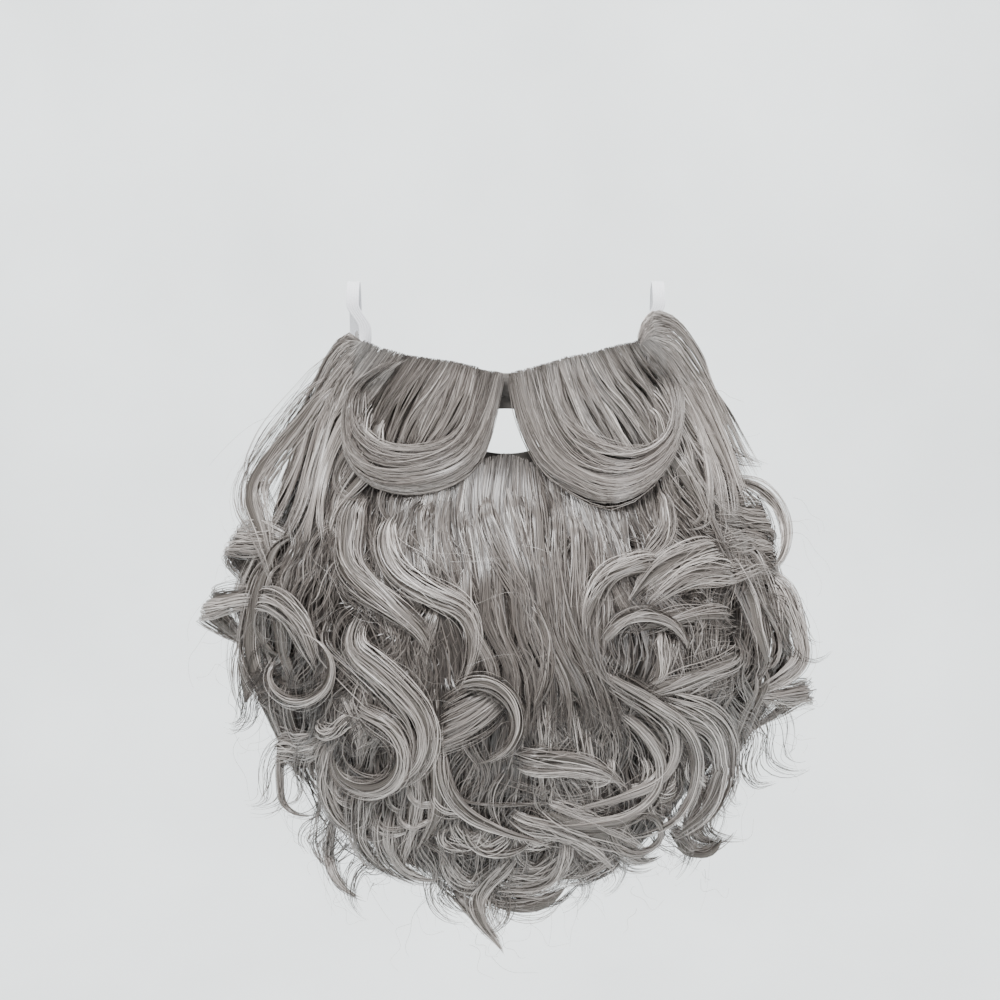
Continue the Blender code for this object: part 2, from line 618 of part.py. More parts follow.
def main():
    for old in list(bpy.data.objects):
        bpy.data.objects.remove(old, do_unlink=True)
    hair = material("silver_hair", HAIR_COLOUR, 0.4)
    net = material("net_fabric", NET_COLOUR, 0.8)
    elastic = material("white_elastic", ELASTIC_COLOUR, 0.6)
    net_base(net)
    rooms = [head_room()]
    recess = mouth_cutter("mouth_recess", GAP, lip_front() + MOUTH_ROOM)
    for name, rows in (("moustache_left", LEFT_TUFTS), ("moustache_right", RIGHT_TUFTS)):
        half = moustache(name, rows, hair)
        boolean(half, "DIFFERENCE", rooms[0], "MANIFOLD")
        boolean(half, "DIFFERENCE", recess, "MANIFOLD")
        keep_outer_shell(half)
        rooms.append(as_cutter(moustache(name + "_room", rows, grown=SEAT_GAP)))
    for name, side in (("ear_loop_left", -1), ("ear_loop_right", 1)):
        ear_loop(name, side, elastic)
        rooms.append(as_cutter(ear_loop(name + "_room", side, grown=SEAT_GAP)))
    rooms.append(mouth_cutter("mouth_room", MOUTH_MARGIN, EAR_DEPTH))
    beard = beard_hair(hair)
    for room in rooms:
        boolean(beard, "DIFFERENCE", room, "MANIFOLD")
    keep_outer_shell(beard)


main()
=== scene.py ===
"""Fake beard, as it looks: curled hair and a moustache on a net base, with ribbed ear loops.

Metres, +Z up, the front faces -Y. The origin is the chin seat, on the inside of the net.
"""

import math
from collections import namedtuple

import bpy
import numpy as np
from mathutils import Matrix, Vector


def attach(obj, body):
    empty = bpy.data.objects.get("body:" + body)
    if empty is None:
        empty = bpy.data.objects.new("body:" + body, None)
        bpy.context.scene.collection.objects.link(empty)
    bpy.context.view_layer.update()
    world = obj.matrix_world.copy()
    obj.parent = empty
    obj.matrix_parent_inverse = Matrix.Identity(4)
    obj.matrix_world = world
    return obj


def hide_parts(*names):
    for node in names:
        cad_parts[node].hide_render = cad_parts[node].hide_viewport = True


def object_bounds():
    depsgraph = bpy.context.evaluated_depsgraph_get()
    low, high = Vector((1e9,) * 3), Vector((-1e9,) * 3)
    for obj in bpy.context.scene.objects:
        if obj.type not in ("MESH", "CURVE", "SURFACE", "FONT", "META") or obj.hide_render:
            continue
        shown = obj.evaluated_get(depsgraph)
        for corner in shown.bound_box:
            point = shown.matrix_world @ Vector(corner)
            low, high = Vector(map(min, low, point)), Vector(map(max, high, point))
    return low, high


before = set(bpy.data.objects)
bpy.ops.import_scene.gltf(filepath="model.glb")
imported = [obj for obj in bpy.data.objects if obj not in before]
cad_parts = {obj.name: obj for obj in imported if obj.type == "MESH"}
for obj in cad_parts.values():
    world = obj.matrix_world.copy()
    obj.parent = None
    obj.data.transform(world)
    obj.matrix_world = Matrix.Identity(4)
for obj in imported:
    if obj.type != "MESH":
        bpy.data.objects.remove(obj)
cad_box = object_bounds()
STRAND_REACH = 0.012
LOW_LIMIT = np.array(cad_box[0]) - STRAND_REACH
HIGH_LIMIT = np.array(cad_box[1]) + STRAND_REACH

# Net base
FACE_HALF_WIDTH = 0.077
LIP_HEIGHT = 0.055
EAR_RISE = 0.027
EAR_DEPTH = 0.088
JAW_DROP = 0.040
FACE_ROUNDNESS = 2.3
NET_WALL = 0.0015
MOUTH_WIDTH = 0.046
MOUTH_HEIGHT = 0.022
MOUTH_RISE = 0.028
GAP = 0.0003

# Hair
HAIR_HALF_WIDTH = 0.150
HAIR_DROP = 0.200
HAIR_FRONT = 0.050
HAIR_ROUNDNESS = 2.2
LOCK_WIDTH = 0.0105
LOCK_THICKNESS = 0.0075
LOCK_LIFT = 0.006
ROOT_SINK = 0.004
CURL_RISE = 0.010

# Ear loops
LOOP_WIDTH = 0.0065
LOOP_THICKNESS = 0.0012
LOOP_START_BACK = 0.074
LOOP_START_UP = 0.055
LOOP_LENGTH = 0.176
LOOP_OUT = 0.003
LOOP_SEAT = 0.0005

# Each row of the face from the lip down to the throat. Height is a share of LIP_HEIGHT above the chin and of
# JAW_DROP below it, front and back are shares of EAR_DEPTH, and rise is a share of EAR_RISE.
# height, half_width, front, back, rise
FACE_ROWS = (
    (1.0, 1.0, -0.09, 1.0, 1.0),
    (0.62, 0.995, -0.08, 1.0, 0.7),
    (0.27, 0.945, 0.0, 0.98, 0.3),
    (0.0, 0.87, 0.0, 0.93, 0.0),
    (-0.5, 0.76, 0.045, 0.84, 0.0),
    (-0.85, 0.59, 0.205, 0.76, 0.0),
    (-1.0, 0.4, 0.42, 0.7, 0.0),
)
FACE_LAST = len(FACE_ROWS) - 1

# Each row of the hair under its locks. Down is a share of HAIR_DROP below the chin, the widths and the shift to one
# side are shares of HAIR_HALF_WIDTH, the fronts of HAIR_FRONT, the back of EAR_DEPTH and the rise of EAR_RISE.
HairRow = namedtuple("HairRow", "down shift half_width front back rise inner_half_width inner_front")
HAIR_ROWS = (
    (-0.275, 0.005, 0.55, -0.3, 0.98, 1.0, 0.47, 0.0),
    (-0.15, 0.016, 0.645, -0.3, 0.98, 0.6, 0.47, 0.08),
    (-0.04, 0.025, 0.725, -0.36, 0.97, 0.2, 0.44, 0.16),
    (0.07, 0.033, 0.795, -0.52, 0.95, 0.0, 0.38, 0.2),
    (0.19, 0.02, 0.87, -0.72, 0.9, 0.0, 0.48, 0.2),
    (0.3, 0.02, 0.91, -0.86, 0.84, 0.0, 0.61, 0.08),
    (0.425, 0.055, 0.89, -0.96, 0.77, 0.0, 0.64, 0.0),
    (0.55, 0.033, 0.815, -0.98, 0.66, 0.0, 0.6, -0.08),
    (0.675, 0.02, 0.725, -0.92, 0.55, 0.0, 0.53, -0.12),
    (0.8, 0.006, 0.63, -0.78, 0.42, 0.0, 0.45, -0.16),
    (0.91, 0.0, 0.5, -0.58, 0.27, 0.0, 0.34, -0.16),
    (0.99, 0.013, 0.29, -0.38, 0.09, 0.0, 0.19, -0.16),
)

# Each lock seen from the front: its root as shares of HAIR_HALF_WIDTH and HAIR_DROP, its heading in degrees from
# straight down, its width and lift as shares of LOCK_WIDTH and LOCK_LIFT, and its bends, each a run as a share of
# HAIR_DROP and a turn in degrees.
# across, down, heading, width, lift, bends
FRONT_LOCKS = (
    (-0.48, -0.35, -22, 1.5, 0.4, ((0.16, -2), (0.16, 4), (0.08, 20))),
    (-0.52, -0.325, -34, 1.9, 0.8, ((0.28, -8), (0.1, 10), (0.09, 55), (0.2, -2), (0.04, -20))),
    (-0.72, 0.13, -85, 1.9, 0.3, ((0.13, -5), (0.11, 150), (0.1, 10))),
    (-0.8, 0.27, -80, 1.5, 0.3, ((0.14, 0), (0.06, 125), (0.14, 10))),
    (-0.76, 0.14, -26, 1.5, 0.3, ((0.14, 8), (0.12, 20), (0.13, 32), (0.1, 40), (0.05, 20))),
    (-0.853, 0.305, 140, 1.5, 0.6, ((0.09, -75), (0.12, -40), (0.1, -10))),
    (-0.76, 0.39, 0, 0.6, 1.2, ((0.04, -5), (0.42, 280))),
    (-0.467, -0.025, -16, 1.8, 0.9, ((0.18, 12), (0.09, 55), (0.17, 0), (0.09, -50), (0.05, -35))),
    (-0.365, 0.03, -22, 1.4, 0.8, ((0.1, 20), (0.12, 55), (0.13, 16), (0.1, -70), (0.15, -40))),
    (-0.235, 0.02, -38, 1.1, 0.6, ((0.08, 32), (0.08, 35), (0.08, 15))),
    (-0.115, 0.01, -8, 1.5, 0.6, ((0.12, 22), (0.16, 10), (0.1, -28), (0.1, -40))),
    (-0.06, -0.01, -2, 1.3, 1.0, ((0.1, 16), (0.16, 12), (0.1, -26), (0.12, -40))),
    (0.0, -0.055, 2, 1.4, 0.7, ((0.15, 10), (0.22, 12), (0.12, -8), (0.14, -20))),
    (0.07, -0.05, 14, 1.4, 0.9, ((0.14, -10), (0.16, 0), (0.16, 18), (0.16, 25), (0.1, 8))),
    (0.15, -0.005, 2, 1.2, 0.7, ((0.13, -4), (0.13, 12), (0.15, 20), (0.14, 28), (0.08, 10))),
    (0.21, 0.03, 10, 1.2, 0.6, ((0.1, -8), (0.15, 0), (0.12, 20), (0.12, 28))),
    (0.285, 0.06, 6, 1.2, 0.4, ((0.14, -4), (0.16, -4), (0.1, 8))),
    (0.035, 0.25, 34, 1.0, 1.1, ((0.1, -6), (0.1, -34), (0.12, -34))),
    (-0.19, 0.5, 132, 0.8, 1.4, ((0.06, -26), (0.17, -105), (0.09, -60), (0.1, -40))),
    (0.04, 0.46, -54, 1.9, 0.9, ((0.17, -6), (0.09, 112), (0.26, 0), (0.05, -20))),
    (-0.45, 0.28, -25, 1.7, 0.9, ((0.07, 20), (0.07, 50), (0.16, 0), (0.1, -45), (0.13, -75), (0.1, -30))),
    (-0.52, 0.535, 84, 1.1, 1.5, ((0.1, -14), (0.13, -85), (0.12, -90), (0.1, -85), (0.06, -60))),
    (-0.575, 0.58, 0, 1.4, 0.5, ((0.1, -8), (0.12, 40), (0.1, 45), (0.06, 10))),
    (-0.2, 0.52, -26, 1.2, 0.7, ((0.06, 24), (0.16, 8), (0.07, -30), (0.1, -16))),
    (-0.725, 0.59, -70, 0.5, 0.2, ((0.03, 66), (0.15, 6), (0.09, 90), (0.06, 20))),
    (-0.56, 0.625, -85, 1.8, 0.4, ((0.11, -5), (0.1, 160), (0.1, 5))),
    (-0.56, 0.79, -10, 0.8, 0.2, ((0.13, 6), (0.09, 60), (0.07, 20))),
    (0.293, 0.4, 168, 0.9, 1.1, ((0.09, -50), (0.14, -75), (0.09, -45))),
    (0.25, 0.405, 48, 1.1, 0.9, ((0.14, 12), (0.08, -15), (0.12, -62), (0.11, -52), (0.2, -15))),
    (0.42, 0.5, 72, 1.7, 0.8, ((0.14, -8), (0.12, -52), (0.12, -35), (0.12, -45), (0.08, -15))),
    (0.515, 0.19, -80, 1.2, 1.2, ((0.12, 5), (0.08, 50), (0.12, 32))),
    (0.722, 0.148, -80, 1.4, 0.9, ((0.12, 10), (0.11, 22), (0.09, 20))),
    (0.78, 0.218, -100, 1.5, 0.7, ((0.1, 14), (0.12, 28), (0.09, 25))),
    (0.947, 0.23, -96, 1.5, 0.4, ((0.16, 10), (0.12, 10), (0.1, 15))),
    (0.765, 0.31, -84, 1.5, 0.5, ((0.12, -6), (0.12, 22), (0.06, 20))),
    (0.79, 0.39, -48, 1.5, 0.6, ((0.1, -22), (0.12, -8), (0.1, 16))),
    (0.88, 0.205, 62, 1.5, 0.2, ((0.06, -38), (0.16, -16), (0.07, -62), (0.14, -34))),
    (0.763, -0.035, 70, 0.9, 0.2, ((0.1, -20), (0.12, -46), (0.09, -52), (0.07, -70))),
    (0.62, 0.035, 72, 1.8, 0.3, ((0.18, 10), (0.1, -130), (0.06, -10))),
    (0.65, 0.15, 96, 1.8, 0.3, ((0.15, -8), (0.1, -125), (0.08, -10))),
    (0.77, 0.525, 92, 1.0, 0.1, ((0.17, 4), (0.06, -150), (0.17, -8))),
    (0.64, 0.7, 0, 1.2, 0.3, ((0.1, -20), (0.08, 70), (0.08, 50))),
    (0.55, 0.855, 20, 0.9, 0.5, ((0.08, 40), (0.07, 80), (0.05, 40))),
    (0.573, -0.13, 38, 1.3, 0.4, ((0.1, 16), (0.1, 6), (0.06, 8))),
    (0.553, -0.11, 18, 0.9, 0.6, ((0.14, 6), (0.14, 4), (0.05, -10))),
    (0.497, -0.01, 12, 1.0, 0.6, ((0.09, -8), (0.09, -48), (0.1, -6))),
    (0.5, -0.32, 42, 1.6, 0.4, ((0.16, -10), (0.14, 4), (0.14, -20))),
    (-0.02, 0.78, 75, 1.7, 0.6, ((0.12, -5), (0.14, -16), (0.08, -30))),
    (0.22, 0.85, -18, 1.8, 0.3, ((0.06, -28), (0.12, -46), (0.1, -14))),
    (-0.19, 0.985, 46, 0.8, 0.1, ((0.14, -4), (0.08, -18))),
    (-0.09, 0.99, 60, 1.3, 0.1, ((0.1, 22), (0.12, 52), (0.04, 20))),
    (-0.22, 0.865, 10, 1.4, 0.2, ((0.08, 25), (0.12, 52), (0.1, 14))),
    (0.447, 0.745, -62, 0.8, 0.5, ((0.07, 32), (0.08, 52), (0.08, 70), (0.06, 50))),
    (0.35, 0.47, 60, 0.7, 1.3, ((0.14, -4), (0.09, -40), (0.12, -35), (0.12, -50), (0.1, -25))),
    (-0.2, 0.59, 0, 0.6, 1.1, ((0.11, 14), (0.13, 52), (0.12, 10), (0.08, -34))),
    (0.765, 0.455, -66, 1.3, 0.4, ((0.1, -6), (0.1, 10))),
    (-0.133, 0.79, 0, 0.5, 0.8, ((0.06, 42), (0.1, 62), (0.09, 70))),
    (0.0, 0.635, 86, 1.0, 0.9, ((0.12, -2), (0.12, -22), (0.08, -50))),
    (0.01, 0.665, 80, 0.8, 0.7, ((0.12, 8), (0.12, -14), (0.07, -60))),
    (0.08, 0.76, 66, 1.5, 0.8, ((0.12, 4), (0.14, -16), (0.08, -20))),
    (0.33, 0.52, 60, 1.1, 1.0, ((0.14, -30), (0.12, -60), (0.12, -50), (0.14, -15), (0.1, 20))),
    (0.33, 0.77, -30, 0.6, 1.0, ((0.06, 40), (0.08, 70), (0.08, 80), (0.08, 90), (0.06, 60))),
    (0.18, 0.82, 20, 1.0, 0.6, ((0.08, -40), (0.1, -50), (0.1, -30))),
    (-0.48, 0.7, 10, 1.6, 0.5, ((0.12, -10), (0.1, 40), (0.1, 60))),
    (-0.38, 0.76, -8, 1.4, 0.6, ((0.1, 20), (0.12, 60), (0.08, 50))),
    (-0.3, 0.64, 14, 1.3, 0.5, ((0.12, -20), (0.14, -10), (0.08, 60))),
    (0.05, 0.88, -60, 1.2, 0.5, ((0.1, 20), (0.12, 60), (0.08, 40))),
    (0.38, 0.88, -50, 1.2, 0.4, ((0.1, -20), (0.1, -20))),
    (0.13, 0.48, 4, 1.2, 0.2, ((0.16, -6), (0.14, 10))),
    (0.2, 0.5, 8, 1.2, 0.2, ((0.16, -4), (0.12, 8))),
    (0.5, 0.33, 12, 1.7, 0.1, ((0.1, -20), (0.1, -40))),
    (0.57, 0.35, -14, 1.6, 0.0, ((0.1, 20), (0.09, 34))),
    (-0.54, 0.49, 6, 1.7, 0.0, ((0.12, 20), (0.09, -30))),
    (-0.47, 0.45, 12, 1.6, 0.0, ((0.12, -24), (0.1, 12))),
    (0.27, 0.56, 0, 1.1, 0.2, ((0.14, 6), (0.1, -10))),
    (-0.215, 0.27, -24, 1.5, 0.0, ((0.14, 10), (0.14, 20))),
    (-0.4, 0.24, 8, 1.3, 0.0, ((0.14, 6), (0.12, -16))),
)

# Guides of the moustache and of the hair above it, each a line of points across and up in millimetres
LEFT_RING = (
    ((-1, 55), (-4, 41), (-8, 25), (-13, 13), (-22, 4), (-35, -2), (-50, -4), (-65, 0), (-75, 11), (-78, 26),
     (-76, 41), (-69, 53), (-57, 62)),
    ((-6, 56), (-10, 40), (-16, 24), (-25, 14), (-38, 8), (-50, 6), (-63, 10), (-71, 20), (-74, 34), (-72, 45),
     (-64, 55), (-52, 63)),
    ((-17, 57), (-20, 46), (-22, 34), (-28, 25), (-39, 20), (-50, 19), (-60, 22), (-68, 30), (-71, 39),
     (-67, 49), (-58, 57), (-47, 64)),
)
LEFT_FILL = (
    ((-8, 56), (-12, 42), (-18, 28), (-28, 14)),
    ((-17, 58), (-22, 44), (-28, 31), (-38, 16)),
    ((-27, 61), (-32, 46), (-38, 33), (-46, 17)),
)
LEFT_FALL = (
    ((-13, 58), (-20, 44), (-28, 27), (-38, 8)),
    ((-25, 61), (-33, 48), (-43, 31), (-52, 10)),
    ((-38, 63), (-47, 49), (-56, 32), (-63, 13)),
    ((-50, 65), (-60, 51), (-68, 36), (-73, 20)),
)
RIGHT_RING = (
    ((1, 55), (5, 37), (11, 21), (19, 8), (32, -3), (47, -11), (62, -8), (73, 1), (81, 16), (86, 31), (87, 44),
     (83, 56), (74, 68)),
    ((12, 58), (16, 41), (22, 25), (32, 12), (46, 5), (59, 6), (71, 14), (79, 26), (82, 39), (79, 51), (71, 64)),
    ((26, 62), (28, 48), (34, 34), (46, 24), (59, 19), (71, 22), (78, 31), (79, 41), (73, 54), (64, 66)),
)
RIGHT_FILL = (
    ((14, 58), (18, 42), (26, 26), (38, 12)),
    ((26, 62), (30, 46), (38, 30), (50, 16)),
    ((38, 65), (42, 50), (50, 36), (60, 18)),
)
RIGHT_FALL = (
    ((27, 63), (36, 46), (47, 29), (60, 10)),
    ((42, 66), (51, 51), (62, 36), (74, 14)),
    ((54, 70), (63, 56), (73, 42), (81, 20)),
    ((64, 72), (73, 60), (81, 46), (86, 28)),
)
CHEEK_LEFT = (
    ((-50, 65), (-60, 52), (-74, 34), (-84, 12), (-88, -12), (-84, -30)),
    ((-62, 69), (-74, 54), (-86, 32), (-92, 8), (-96, -14), (-104, -32)),
    ((-70, 73), (-82, 60), (-92, 40), (-99, 18), (-106, -2), (-116, -22)),
    ((-72, 71), (-76, 77), (-82, 79), (-91, 69), (-98, 51), (-105, 30), (-112, 8), (-122, -12)),
)
CHEEK_RIGHT = (
    ((64, 72), (76, 58), (86, 40), (92, 20), (94, -2), (90, -26)),
    ((68, 76), (82, 66), (93, 46), (103, 24), (110, 4), (112, -18)),
    ((66, 70), (72, 79), (83, 78), (96, 60), (106, 38), (116, 16), (124, 0)),
    ((66, 73), (69, 85), (76, 91), (87, 86), (98, 70), (108, 50), (118, 28), (129, 8)),
)
UNDER_LEFT = (
    ((-70, 6), (-74, -14), (-66, -34), (-58, -52)),
    ((-50, -2), (-56, -24), (-50, -46), (-38, -62)),
    ((-34, 0), (-38, -22), (-36, -44), (-24, -60)),
    ((-24, 6), (-27, -18), (-23, -42), (-14, -66)),
)
UNDER_RIGHT = (
    ((22, 4), (30, -22), (38, -50), (46, -76)),
    ((40, -8), (48, -30), (54, -54), (62, -74)),
    ((60, -8), (64, -30), (74, -48), (90, -60)),
    ((76, 4), (82, -20), (96, -34), (112, -40)),
    ((84, 20), (98, 0), (112, -12), (126, -14)),
)
THROAT = (
    ((-24, 6), (-27, -16), (-22, -40), (-22, -64), (-12, -88), (-16, -112)),
    ((-12, 14), (-14, -12), (-8, -40), (-6, -66), (4, -90), (2, -116)),
    ((0, 17), (-2, -14), (4, -42), (6, -70), (16, -94), (16, -120)),
    ((10, 14), (13, -16), (20, -44), (24, -72), (34, -96), (38, -120)),
    ((22, 4), (29, -20), (38, -48), (44, -76), (54, -100), (60, -122)),
)

# The same for the sides, depth and height, and for the rim and the inside of the back, across and height
SIDE_SHEET = (
    ((8, 66), (6, 40), (0, 0), (-6, -40), (-2, -80), (4, -120), (6, -160)),
    ((34, 70), (32, 40), (24, 0), (22, -40), (18, -80), (18, -120), (8, -165)),
    ((58, 74), (60, 40), (52, 0), (50, -40), (42, -80), (34, -125), (14, -172)),
    ((84, 78), (83, 40), (80, 0), (74, -36), (62, -80), (44, -130), (22, -176)),
)
RIM_SHEET = (
    ((71, 60), (74, 30), (70, 0), (78, -30), (94, -60), (94, -90), (82, -125), (60, -162)),
    ((80, 62), (90, 30), (98, 0), (106, -30), (116, -60), (112, -92), (100, -130), (72, -166)),
    ((84, 66), (104, 30), (120, 0), (126, -35), (134, -60), (130, -95), (114, -130), (88, -168)),
)
INNER_SIDE_SHEET = (
    ((80, -10), (76, -38), (70, -66), (60, -98), (46, -134), (28, -168)),
    ((54, -18), (50, -48), (46, -80), (38, -112), (28, -144), (14, -178)),
    ((26, -30), (22, -60), (18, -92), (14, -124), (8, -156), (2, -186)),
)
INNER_SHEET = (
    ((-84, -40), (-98, -66), (-94, -100), (-84, -146), (-58, -186)),
    ((-42, -40), (-44, -66), (-50, -100), (-44, -150), (-28, -200)),
    ((0, -40), (4, -68), (-4, -104), (2, -152), (2, -204)),
    ((42, -40), (48, -66), (46, -100), (46, -150), (30, -200)),
    ((84, -40), (98, -66), (96, -100), (84, -146), (60, -186)),
)

# The surfaces that the hair lies on
WIDEST_SHARE = 0.93
PAST_SIDE_SLOPE = 0.8
PAST_SIDE_REACH = 0.3
DEEPEST_SHARE = 0.95
SLOPE_STEP = 0.004
NEAR = 0.001
TINY = 1e-12
GUIDE_POINTS = 60
MASS_INSET = 0.0030
MASS_DROP = 0.97

# How the strands are made
STRAND_WIDTH = 0.00042
STRAND_ROLL = 0.28
MARK_HALF = 0.003
TONES = (0.02, 0.98)
SHEET_TURN = 5.0
CLUMP_WIDTH = 0.0034
CLUMP_DRIFT = 0.20
DRIFT_TURN = 7.0
TIP_SPREAD = 0.15
THINNEST = 1e-4
CORE_SHARE = 0.50
CORE_SPAN = (0.02, 0.90)
CORE_TAPER = 0.22
CORE_SIDES = 6
PATH_STEP = 0.0012
WIND_TURN = 95
WIND_RATE = 1000
WIND_DRIFT = 0.22
THROAT_SHADE = 0.19
FLYAWAYS = 620
FLYAWAY_STEPS = 15
RNG = np.random.default_rng(7)

# The net's threads and edges, as shares from one side of the face to the other
THREAD_REACH = 2.9
THREAD_SPACING = 0.085
THREAD_SLANT = 1.9
EDGE_TURN = 0.985
MOUTH_MARGIN = 0.003

# The loop seen from the side: runs as shares of LOOP_LENGTH, and turns in degrees
LOOP_HEADING = 168
LOOP_BENDS = ((0.23, -3), (0.26, -135), (0.14, -20), (0.16, -65), (0.21, -15))
LOOP_FLAT = (0.05, 0.95)
LOOP_TURNED = (0.16, 0.84)
LOOP_CLEAR = (0.24, 0.76)
LOOP_STEPS = 110
LOOP_RIBS = 5
RIB_DEPTH = 0.38

# Tones from dark to light, each with its place on the ramp
STRAND_TONES = (
    (0.0, (0.027, 0.022, 0.019)),
    (0.35, (0.115, 0.099, 0.088)),
    (0.65, (0.272, 0.243, 0.223)),
    (1.0, (0.580, 0.535, 0.498)),
)
# The cores' streaks, kept dark as painted shade inside each lock
PAINTED_SHADE_STREAK_TONES = (
    (0.28, (0.022, 0.018, 0.016)),
    (0.45, (0.060, 0.052, 0.045)),
    (0.60, (0.130, 0.114, 0.101)),
    (0.75, (0.230, 0.206, 0.186)),
)
ROOT_TO_TIP = ((0.0, 0.70), (0.12, 0.95), (0.7, 1.0), (1.0, 1.08))

# name, place, target, size, power
LIGHTS = (
    ("key", (-0.5, -1.3, 1.6), (0, 0, -0.05), (0.5, 0.5), 66),
    ("fill", (1.4, -1.2, 0.5), (0, 0, -0.05), (0.7, 0.9), 22),
    ("top", (0.0, 0.0, 1.5), (0, 0, 0), (1.2, 0.6), 26),
    ("wall", (0.0, 0.7, 2.2), (0, 1.95, 0.1), (2.5, 0.8), 90),
)


def row_at(rows, place):
    """The table's columns at a place counted in rows, on a smooth curve through the rows."""
    place = min(len(rows) - 1.0, max(0.0, place))
    below = min(int(place), len(rows) - 2)
    share = place - below
    before = rows[max(below - 1, 0)]
    after = rows[min(below + 2, len(rows) - 1)]
    values = []
    for column, (start, end) in enumerate(zip(rows[below], rows[below + 1])):
        slope_in = (end - before[column]) / 2
        slope_out = (after[column] - start) / 2
        bend_in = 3 * (end - start) - 2 * slope_in - slope_out
        bend_out = slope_in + slope_out - 2 * (end - start)
        values.append(start + share * (slope_in + share * (bend_in + share * bend_out)))
    return values


def hair_row(down):
    below = 0
    while below < len(HAIR_ROWS) - 2 and HAIR_ROWS[below + 1][0] < down:
        below += 1
    share = (down - HAIR_ROWS[below][0]) / (HAIR_ROWS[below + 1][0] - HAIR_ROWS[below][0])
    return row_at(HAIR_ROWS, below + min(1.0, max(0.0, share)))


DOWNS = np.linspace(HAIR_ROWS[0][0], HAIR_ROWS[-1][0], 120)
HAIR_TABLE = np.array([hair_row(down) for down in DOWNS])


def hair_columns(z):
    """The hair's row at each height."""
    down = -z / HAIR_DROP
    return HairRow(*(np.interp(down, DOWNS, HAIR_TABLE[:, column]) for column in range(HAIR_TABLE.shape[1])))


def oval(share):
    """The other share of a point on the hair's rounded outline."""
    return (1 - share**HAIR_ROUNDNESS) ** (1 / HAIR_ROUNDNESS)


def bulge(across):
    """How far forward the hair stands at each share of its width, going on past the sides."""
    inside = np.minimum(WIDEST_SHARE, across)
    return oval(inside) - PAST_SIDE_SLOPE * np.clip(across - inside, 0, PAST_SIDE_REACH)


def front_surface(x, z):
    row = hair_columns(z)
    back = row.back * EAR_DEPTH
    return back - (back - row.front * HAIR_FRONT) * bulge(np.abs(x / HAIR_HALF_WIDTH - row.shift) / row.half_width)


def inner_surface(x, z):
    row = hair_columns(z)
    back = row.back * EAR_DEPTH
    across = np.minimum(WIDEST_SHARE, np.abs(x / HAIR_HALF_WIDTH - row.shift) / row.inner_half_width)
    return back - (back - row.inner_front * HAIR_FRONT) * oval(across)


def side_surface(y, z, side, inside=False):
    row = hair_columns(z)
    half_width, front = (row.inner_half_width, row.inner_front) if inside else (row.half_width, row.front)
    back = row.back * EAR_DEPTH
    deep = np.clip((back - y) / (back - front * HAIR_FRONT), 0, DEEPEST_SHARE)
    return (row.shift + side * half_width * oval(deep)) * HAIR_HALF_WIDTH


def unit(vectors):
    return vectors / (np.linalg.norm(vectors, axis=-1, keepdims=True) + TINY)


def slopes(surface, along, height):
    """The surface at each place, and how steeply it changes along and up."""
    ways = ((0, 0), (1, 0), (-1, 0), (0, 1), (0, -1))
    here, after, before, above, below = (
        surface(along + SLOPE_STEP * ahead, height + SLOPE_STEP * up) for ahead, up in ways
    )
    return here, (after - before) / (2 * SLOPE_STEP), (above - below) / (2 * SLOPE_STEP)


def front_place(along, height, surface=front_surface, facing=-1):
    """Points on the hair's surface at places seen from the front, with the ways out of it."""
    y, slope_x, slope_z = slopes(surface, along, height)
    slope_x, slope_z = np.clip(slope_x, -1.0, 1.0), np.clip(slope_z, -1.0, 1.0)
    outward = unit(np.stack([slope_x, -np.ones_like(y), slope_z], axis=-1)) * -facing
    return np.stack([along, y, height], axis=-1), outward


def inner_place(along, height):
    return front_place(along, height, inner_surface, 1)


def side_place(side, inside=False):
    facing = -side if inside else side

    def place(along, height):
        x, slope_y, slope_z = slopes(lambda y, z: side_surface(y, z, side, inside), along, height)
        outward = unit(np.stack([np.ones_like(x), -slope_y, -slope_z], axis=-1)) * facing
        return np.stack([x, along, height], axis=-1), outward

    return place


def rim_place(along, height):
    """The back of the hair, between its inner and outer surfaces."""
    outward = np.zeros((*np.shape(along), 3))
    outward[..., 1] = 1
    return np.stack([along, hair_columns(height).back * EAR_DEPTH, height], axis=-1), outward


def winds_behind(run, turn):
    return abs(turn) >= WIND_TURN and abs(turn) / run >= WIND_RATE


def curl_path(start, heading, bends, scale=HAIR_DROP, step=PATH_STEP):
    """The points of a path of arcs, where a tight turn winds round behind the lock, as a ringlet does.

    Each point has its place, the turn so far in degrees, the depth, and how the way out is turned.
    """
    along, height = start
    points = [(along, height, 0.0, 0.0, 1.0, 0.0, 0.0)]
    turned, depth, facing = 0.0, 0.0, 1.0
    for run, turn in bends:
        length = run * scale
        count = max(2, round(length / step))
        winds = winds_behind(run, turn)
        first, last = (math.radians(heading + turned + more) for more in (0, turn))
        ways = np.array([[math.sin(angle), -math.cos(angle)] for angle in (first, last)])
        outer = (ways[0] - ways[1]) / (np.linalg.norm(ways[0] - ways[1]) + TINY)
        for number in range(count):
            turned += turn / count
            if winds:
                half = (number + 0.5) / count * math.pi
                ahead = ways[0] * math.cos(half / 2) ** 2 + ways[1] * math.sin(half / 2) ** 2
                inward = facing * math.sin(half)
                size = math.hypot(*ahead, inward)
                along += ahead[0] / size * length / count
                height += ahead[1] / size * length / count - WIND_DRIFT * length / count
                depth += inward / size * length / count
                swing = (number + 1) / count * math.pi
                points.append((along, height, turned, depth, facing * math.cos(swing), *(outer * math.sin(swing))))
                continue
            angle = math.radians(heading + turned - turn / count / 2)
            along += math.sin(angle) * length / count
            height -= math.cos(angle) * length / count
            points.append((along, height, turned, depth, facing, 0.0, 0.0))
        facing = -facing if winds else facing
    return np.array(points)


def ramp(share, start, end):
    share = np.clip((share - start) / (end - start), 0, 1)
    return share * share * (3 - 2 * share)


